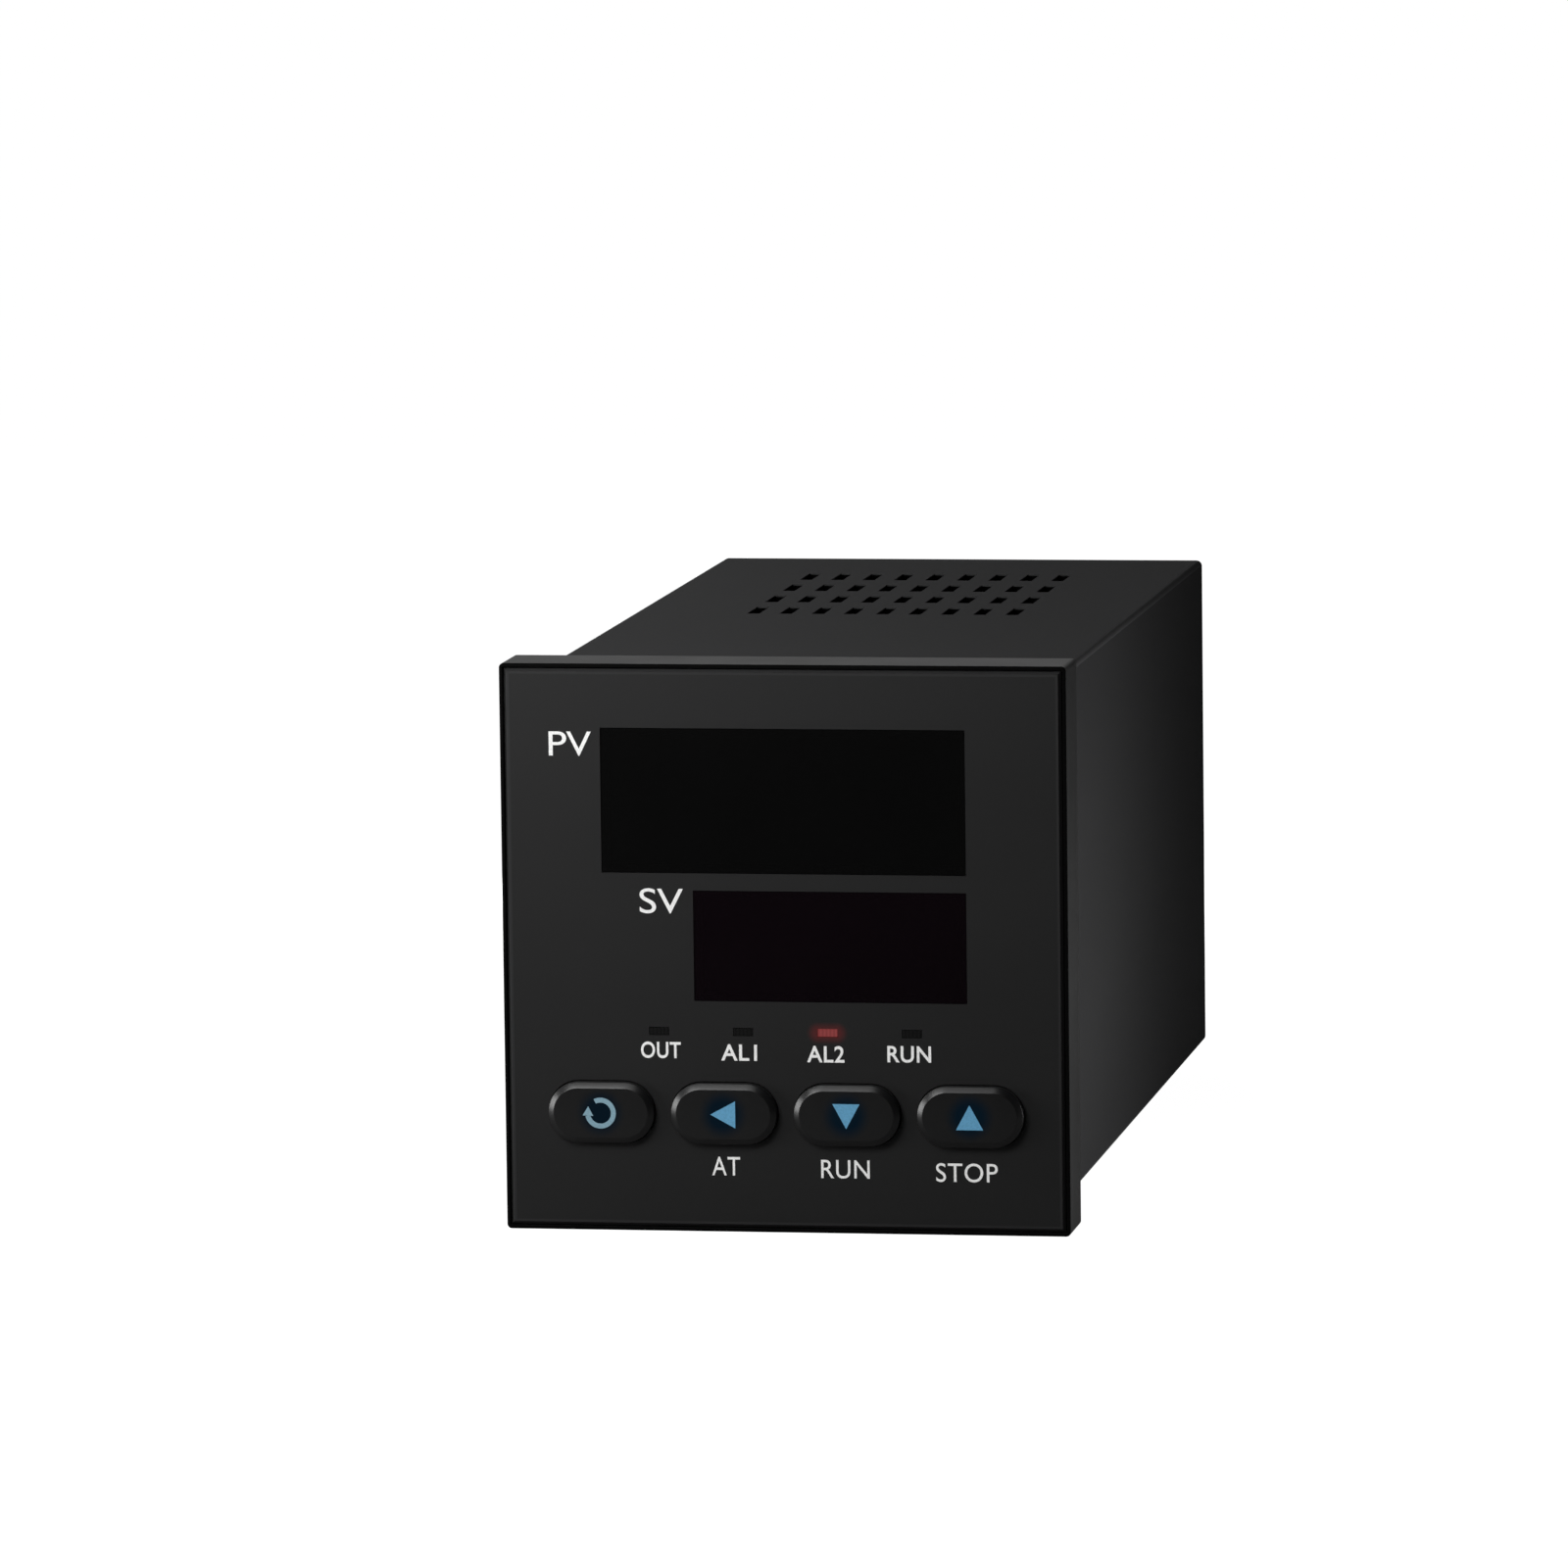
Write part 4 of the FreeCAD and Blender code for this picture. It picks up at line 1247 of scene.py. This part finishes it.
@dataclass
class TerminalScrew:
    """A pan-head screw with a cross recess, seen from behind."""

    radius: float = 2.3
    height: float = 1.8
    shoulder: float = 0.5
    recess_depth: float = 1.1
    recess_reach: float = 1.45
    recess_width: float = 0.5
    recess_flare: float = 0.1
    recess_slope: float = 0.16
    recess_ramp: float = 0.5
    bottom: Span = (1.15, 0.5)
    around: int = 72
    across: int = 26
    crowding: float = 1.15

    def recess_bar(self, along: Array, beside: Array) -> Array:
        """One bar of the cross recess, as a share of its depth.

        Args:
            along: Distance from the middle along the bar.
            beside: Distance from the bar's middle line.

        Returns:
            1 inside the bar, falling to 0 across its sides and its ends.
        """
        wide = (self.recess_width / 2 + self.recess_flare - np.abs(beside)) / self.recess_slope
        long = (self.recess_reach - np.abs(along)) / self.recess_ramp
        return np.clip(wide, 0, 1) * np.clip(long, 0, 1)

    def head(self, x: float, z: float, base: float) -> Surface:
        """The head as a height over a disc, closed by its side and its seat.

        The height is the head's, less a quarter of an ellipse at the shoulder and less
        the cross. The cross is the greater of two bars at right angles, each a smooth
        fall across its width and towards its end, and deepest at the middle.

        Args:
            x: Place across.
            z: Place upwards.
            base: Y of the seat.

        Returns:
            Points and faces.
        """
        share = np.linspace(1, 0, self.across) ** self.crowding
        angle = np.linspace(0, 2 * math.pi, self.around, endpoint=False)
        reach = self.radius * share[:, None]
        right, up = reach * np.cos(angle), reach * np.sin(angle)
        outside = np.clip((reach - self.radius + self.shoulder) / self.shoulder, 0, 1)
        dome = self.height - self.shoulder * (1 - np.sqrt(1 - outside ** 2))
        cross = np.maximum(self.recess_bar(right, up), self.recess_bar(up, right))
        deepest, fall = self.bottom
        middle = np.clip(deepest - reach / self.recess_reach * fall, 0, 1)
        top = dome - self.recess_depth * cross * middle
        rings = np.stack([x + right, base + top, z + up], axis=-1)
        seat = np.stack([x + right[[-1, 0]], np.full_like(right[[-1, 0]], base),
                         z + up[[-1, 0]]], axis=-1)
        return ring_surface(np.concatenate([seat, rings]))


@dataclass
class Rear:
    """Rear cover, terminal blocks, contact plates, screws and plain numbers."""

    rows: int = 6
    screw: TerminalScrew = field(default_factory=TerminalScrew)
    number_inset: float = 1.5
    number_height: float = 1.9
    digit_width: float = 0.95
    one_width: float = 0.34
    digit_gap: float = 0.36
    field_depth: float = 0.4
    field_margin: float = 3.0
    sharp: float = 40.0

    def build(self) -> None:
        """Coat the mouldings, set the screws and print the numbers."""
        coat(Moulded("rear_plastic", (0.018, 0.018, 0.0185), roughness=0.55, specular=0.2,
                     grain=0.28, depth=0.007).material(), "rear_cover")
        coat(Moulded("terminal_plastic", (0.014, 0.014, 0.0145), roughness=0.5, specular=0.3,
                     grain=0.2, depth=0.005).material(),
             "terminal_block_left", "terminal_block_right")
        coat(Metal("zinc_plate", (0.62, 0.61, 0.58), streak=(6.0, 1.0, 1.0)).material(),
             "terminal_plates")
        low, high = node_box("terminal_screws")
        seat = node_box("terminal_plates")[1][1]
        radius = self.screw.radius
        columns = (low[0] + radius, high[0] - radius)
        heights = np.linspace(high[2] - radius, low[2] + radius, self.rows)
        heads = [self.screw.head(x, z, seat) for x in columns for z in heights]
        steel = Metal("nickel_plate", (0.7, 0.69, 0.66), roughness=0.34)
        screws = piece("terminal_screw_heads", joined(heads), steel.material(), HOUSING,
                       self.sharp)
        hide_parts("terminal_screws")
        self.print_numbers(heights)

    def print_numbers(self, heights: Array) -> None:
        """Number the terminals from the upper left, as seen from behind.

        Args:
            heights: Height of each row, from the top.
        """
        printer = Printer(Ink("grey_ink", (0.55, 0.55, 0.54)).material(), "rear")
        _, high = node_box("rear_cover")
        depth = high[1] - self.field_depth
        edge = high[0] - self.field_margin - self.number_inset
        for column, side in enumerate((1, -1)):
            for row, up in enumerate(heights):
                text = str(column * self.rows + row + 1)
                wide = sum(self.one_width if digit == "1" else self.digit_width
                           for digit in text) + self.digit_gap * (len(text) - 1)
                printer.print_word(
                    Word(f"terminal_number_{text}", text, side * edge, float(up), wide,
                         self.number_height),
                    depth, Facing.REAR)


# Studio

@dataclass(frozen=True)
class PhotoCamera:
    """The photograph's viewpoint: a long lens in front, to the right and a little above.

    Lengths are in millimetres and angles in degrees. The nearest distance that the camera
    sees is in metres.
    """

    lens: float = 247.5
    sensor: float = 36.0
    nearest: float = 0.01
    place: Point = (149.49, -887.75, 124.88)
    yaw: float = 9.617
    pitch: float = 7.032
    roll: float = 0.71

    def build(self) -> None:
        """Set the camera up.

        It looks along a line turned to the left by the yaw and down by the pitch, and is
        rolled about that line.
        """
        data = bpy.data.cameras.new("photo_camera")
        data.lens = self.lens
        data.sensor_width = self.sensor
        data.sensor_fit = "HORIZONTAL"
        data.clip_start = self.nearest
        camera = link_new("photo_camera", data)
        roll = Matrix.Rotation(-math.radians(self.roll), 3, "Z")
        pitch = Matrix.Rotation(math.radians(90.0 - self.pitch), 3, "X")
        turned = Matrix.Rotation(math.radians(self.yaw), 3, "Z") @ pitch @ roll
        camera.matrix_world = Matrix.Translation(Vector(self.place) * MM) @ turned.to_4x4()
        bpy.context.scene.camera = camera


@dataclass(frozen=True)
class Softbox:
    """A square white lamp that points at a target, in millimetres and watts."""

    name: str
    place: Point
    target: Point
    size: float
    power: float

    def build(self) -> None:
        """Hang the lamp, out of the camera's sight."""
        data = bpy.data.lights.new(self.name, "AREA")
        data.size = self.size * MM
        data.energy = self.power
        lamp = link_new(self.name, data)
        place, target = Vector(self.place) * MM, Vector(self.target) * MM
        lamp.location = place
        lamp.rotation_euler = (target - place).to_track_quat("-Z", "Y").to_euler()
        lamp.visible_camera = False


@dataclass
class Studio:
    """White surroundings, a pale floor and soft lamps.

    The surround is the world's light on the object. The mirror is the share of the white
    that gloss reflects, small so that dark plastic stays dark.
    """

    floor_size: float = 8000.0
    floor_colour: Colour = (0.25, 0.25, 0.25)
    floor_white: float = 0.985
    floor_fade: Span = (140.0, 480.0)
    surround: float = 0.006
    mirror: float = 0.015
    lamps: tuple[Softbox, ...] = (
        Softbox("key_lamp", (-66, -108, 75), (-12, 0, 5), 70, 0.117),
        Softbox("near_lamp", (-14, -70, 70), (-5, 0, 0), 50, 0.0155),
        Softbox("edge_lamp", (-110, -12, 70), (0, -6, 0), 60, 0.006),
        Softbox("lip_lamp", (-280, -98, 30), (0, -7, -14), 112, 0.38),
        Softbox("side_lamp", (86, 6, -10), (22, 6, -8), 36, 0.0325),
        Softbox("top_lamp", (-124, 72, 88), (-8, 62, 22), 78, 0.116),
        Softbox("horizon_lamp", (-70, 700, 90), (0, 40, 20), 300, 0.145),
        Softbox("left_lamp", (-320, 60, 0), (0, 50, -4), 40, 0.35),
        Softbox("behind_lamp", (-40, 225, -5), (-5, 95, -4), 48, 0.22),
    )

    def build(self) -> None:
        """Make the world, the floor and the lamps."""
        self.make_world()
        self.make_floor()
        for lamp in self.lamps:
            lamp.build()
        bpy.context.scene.view_settings.view_transform = "Standard"

    def backdrop_mask(self, sheet: NodeSheet) -> Wire:
        """1 for camera and transmission rays, and the mirror's share for glossy rays.

        Args:
            sheet: The tree that needs the mask.

        Returns:
            The mask.
        """
        path = sheet.add("ShaderNodeLightPath").socket.node
        camera, glossy, through = (Wire(sheet, path.outputs[name]) for name in (
            "Is Camera Ray", "Is Glossy Ray", "Is Transmission Ray"))
        total = camera + through + self.mirror * glossy
        return total.math("MINIMUM", 1.0)

    def make_world(self) -> None:
        """An even light, seen as white."""
        world = bpy.data.worlds.new("studio")
        world.use_nodes = True
        bpy.context.scene.world = world
        sheet = NodeSheet(world.node_tree)
        light, white = (sheet.add("ShaderNodeBackground", sockets={
            "Color": WHITE, "Strength": strength}) for strength in (self.surround, 1.0))
        shown = sheet.add("ShaderNodeMixShader", sockets={
            0: self.backdrop_mask(sheet), 1: light, 2: white})
        sheet.add("ShaderNodeOutputWorld", sockets={"Surface": shown})

    def make_floor(self) -> None:
        """A flat sheet under the bezel that is white to the eye and keeps a faint shadow.

        Its own white is a little short of full near the object, so that the lamps make up
        the rest outside the shadow, and full far behind it, where no lamp reaches.
        """
        level = node_box("front_bezel")[0][2]
        half = self.floor_size / 2
        corners = np.array([[-half, -half, level], [half, -half, level],
                            [half, half, level], [-half, half, level]])
        mesh = bpy.data.meshes.new("studio_floor")
        mesh.from_pydata((corners * MM).tolist(), [], [(0, 1, 2, 3)])
        floor = link_new("studio_floor", mesh)
        material, sheet = new_material("studio_floor")
        matt = sheet.add("ShaderNodeBsdfDiffuse", sockets={"Color": self.floor_colour})
        near = sheet.axes()[1].falling(*self.floor_fade)
        strength = 1.0 - (1.0 - self.floor_white) * near
        white = sheet.add("ShaderNodeEmission", sockets={
            "Color": WHITE, "Strength": strength * self.backdrop_mask(sheet)})
        both = sheet.add("ShaderNodeAddShader", sockets={0: matt, 1: white})
        sheet.add("ShaderNodeOutputMaterial", sockets={"Surface": both})
        mesh.materials.append(material)


def main() -> None:
    """Dress the controller from the front to the rear and light it."""
    PhotoCamera().build()
    Front().build()
    Display("upper", digit_height=9.1, pitch=7.3, off_colour=(0.05, 0.035, 0.033),
            window_colour=(0.0034, 0.0034, 0.0034)).build()
    Display("lower", digit_height=7.1, pitch=5.4, off_colour=(0.033, 0.045, 0.036),
            window_colour=(0.0042, 0.0025, 0.0036)).build()
    Keypad().build()
    Indicators().build()
    Casing().build()
    Internals().build()
    Rear().build()
    Studio().build()


if __name__ == "__main__":
    main()
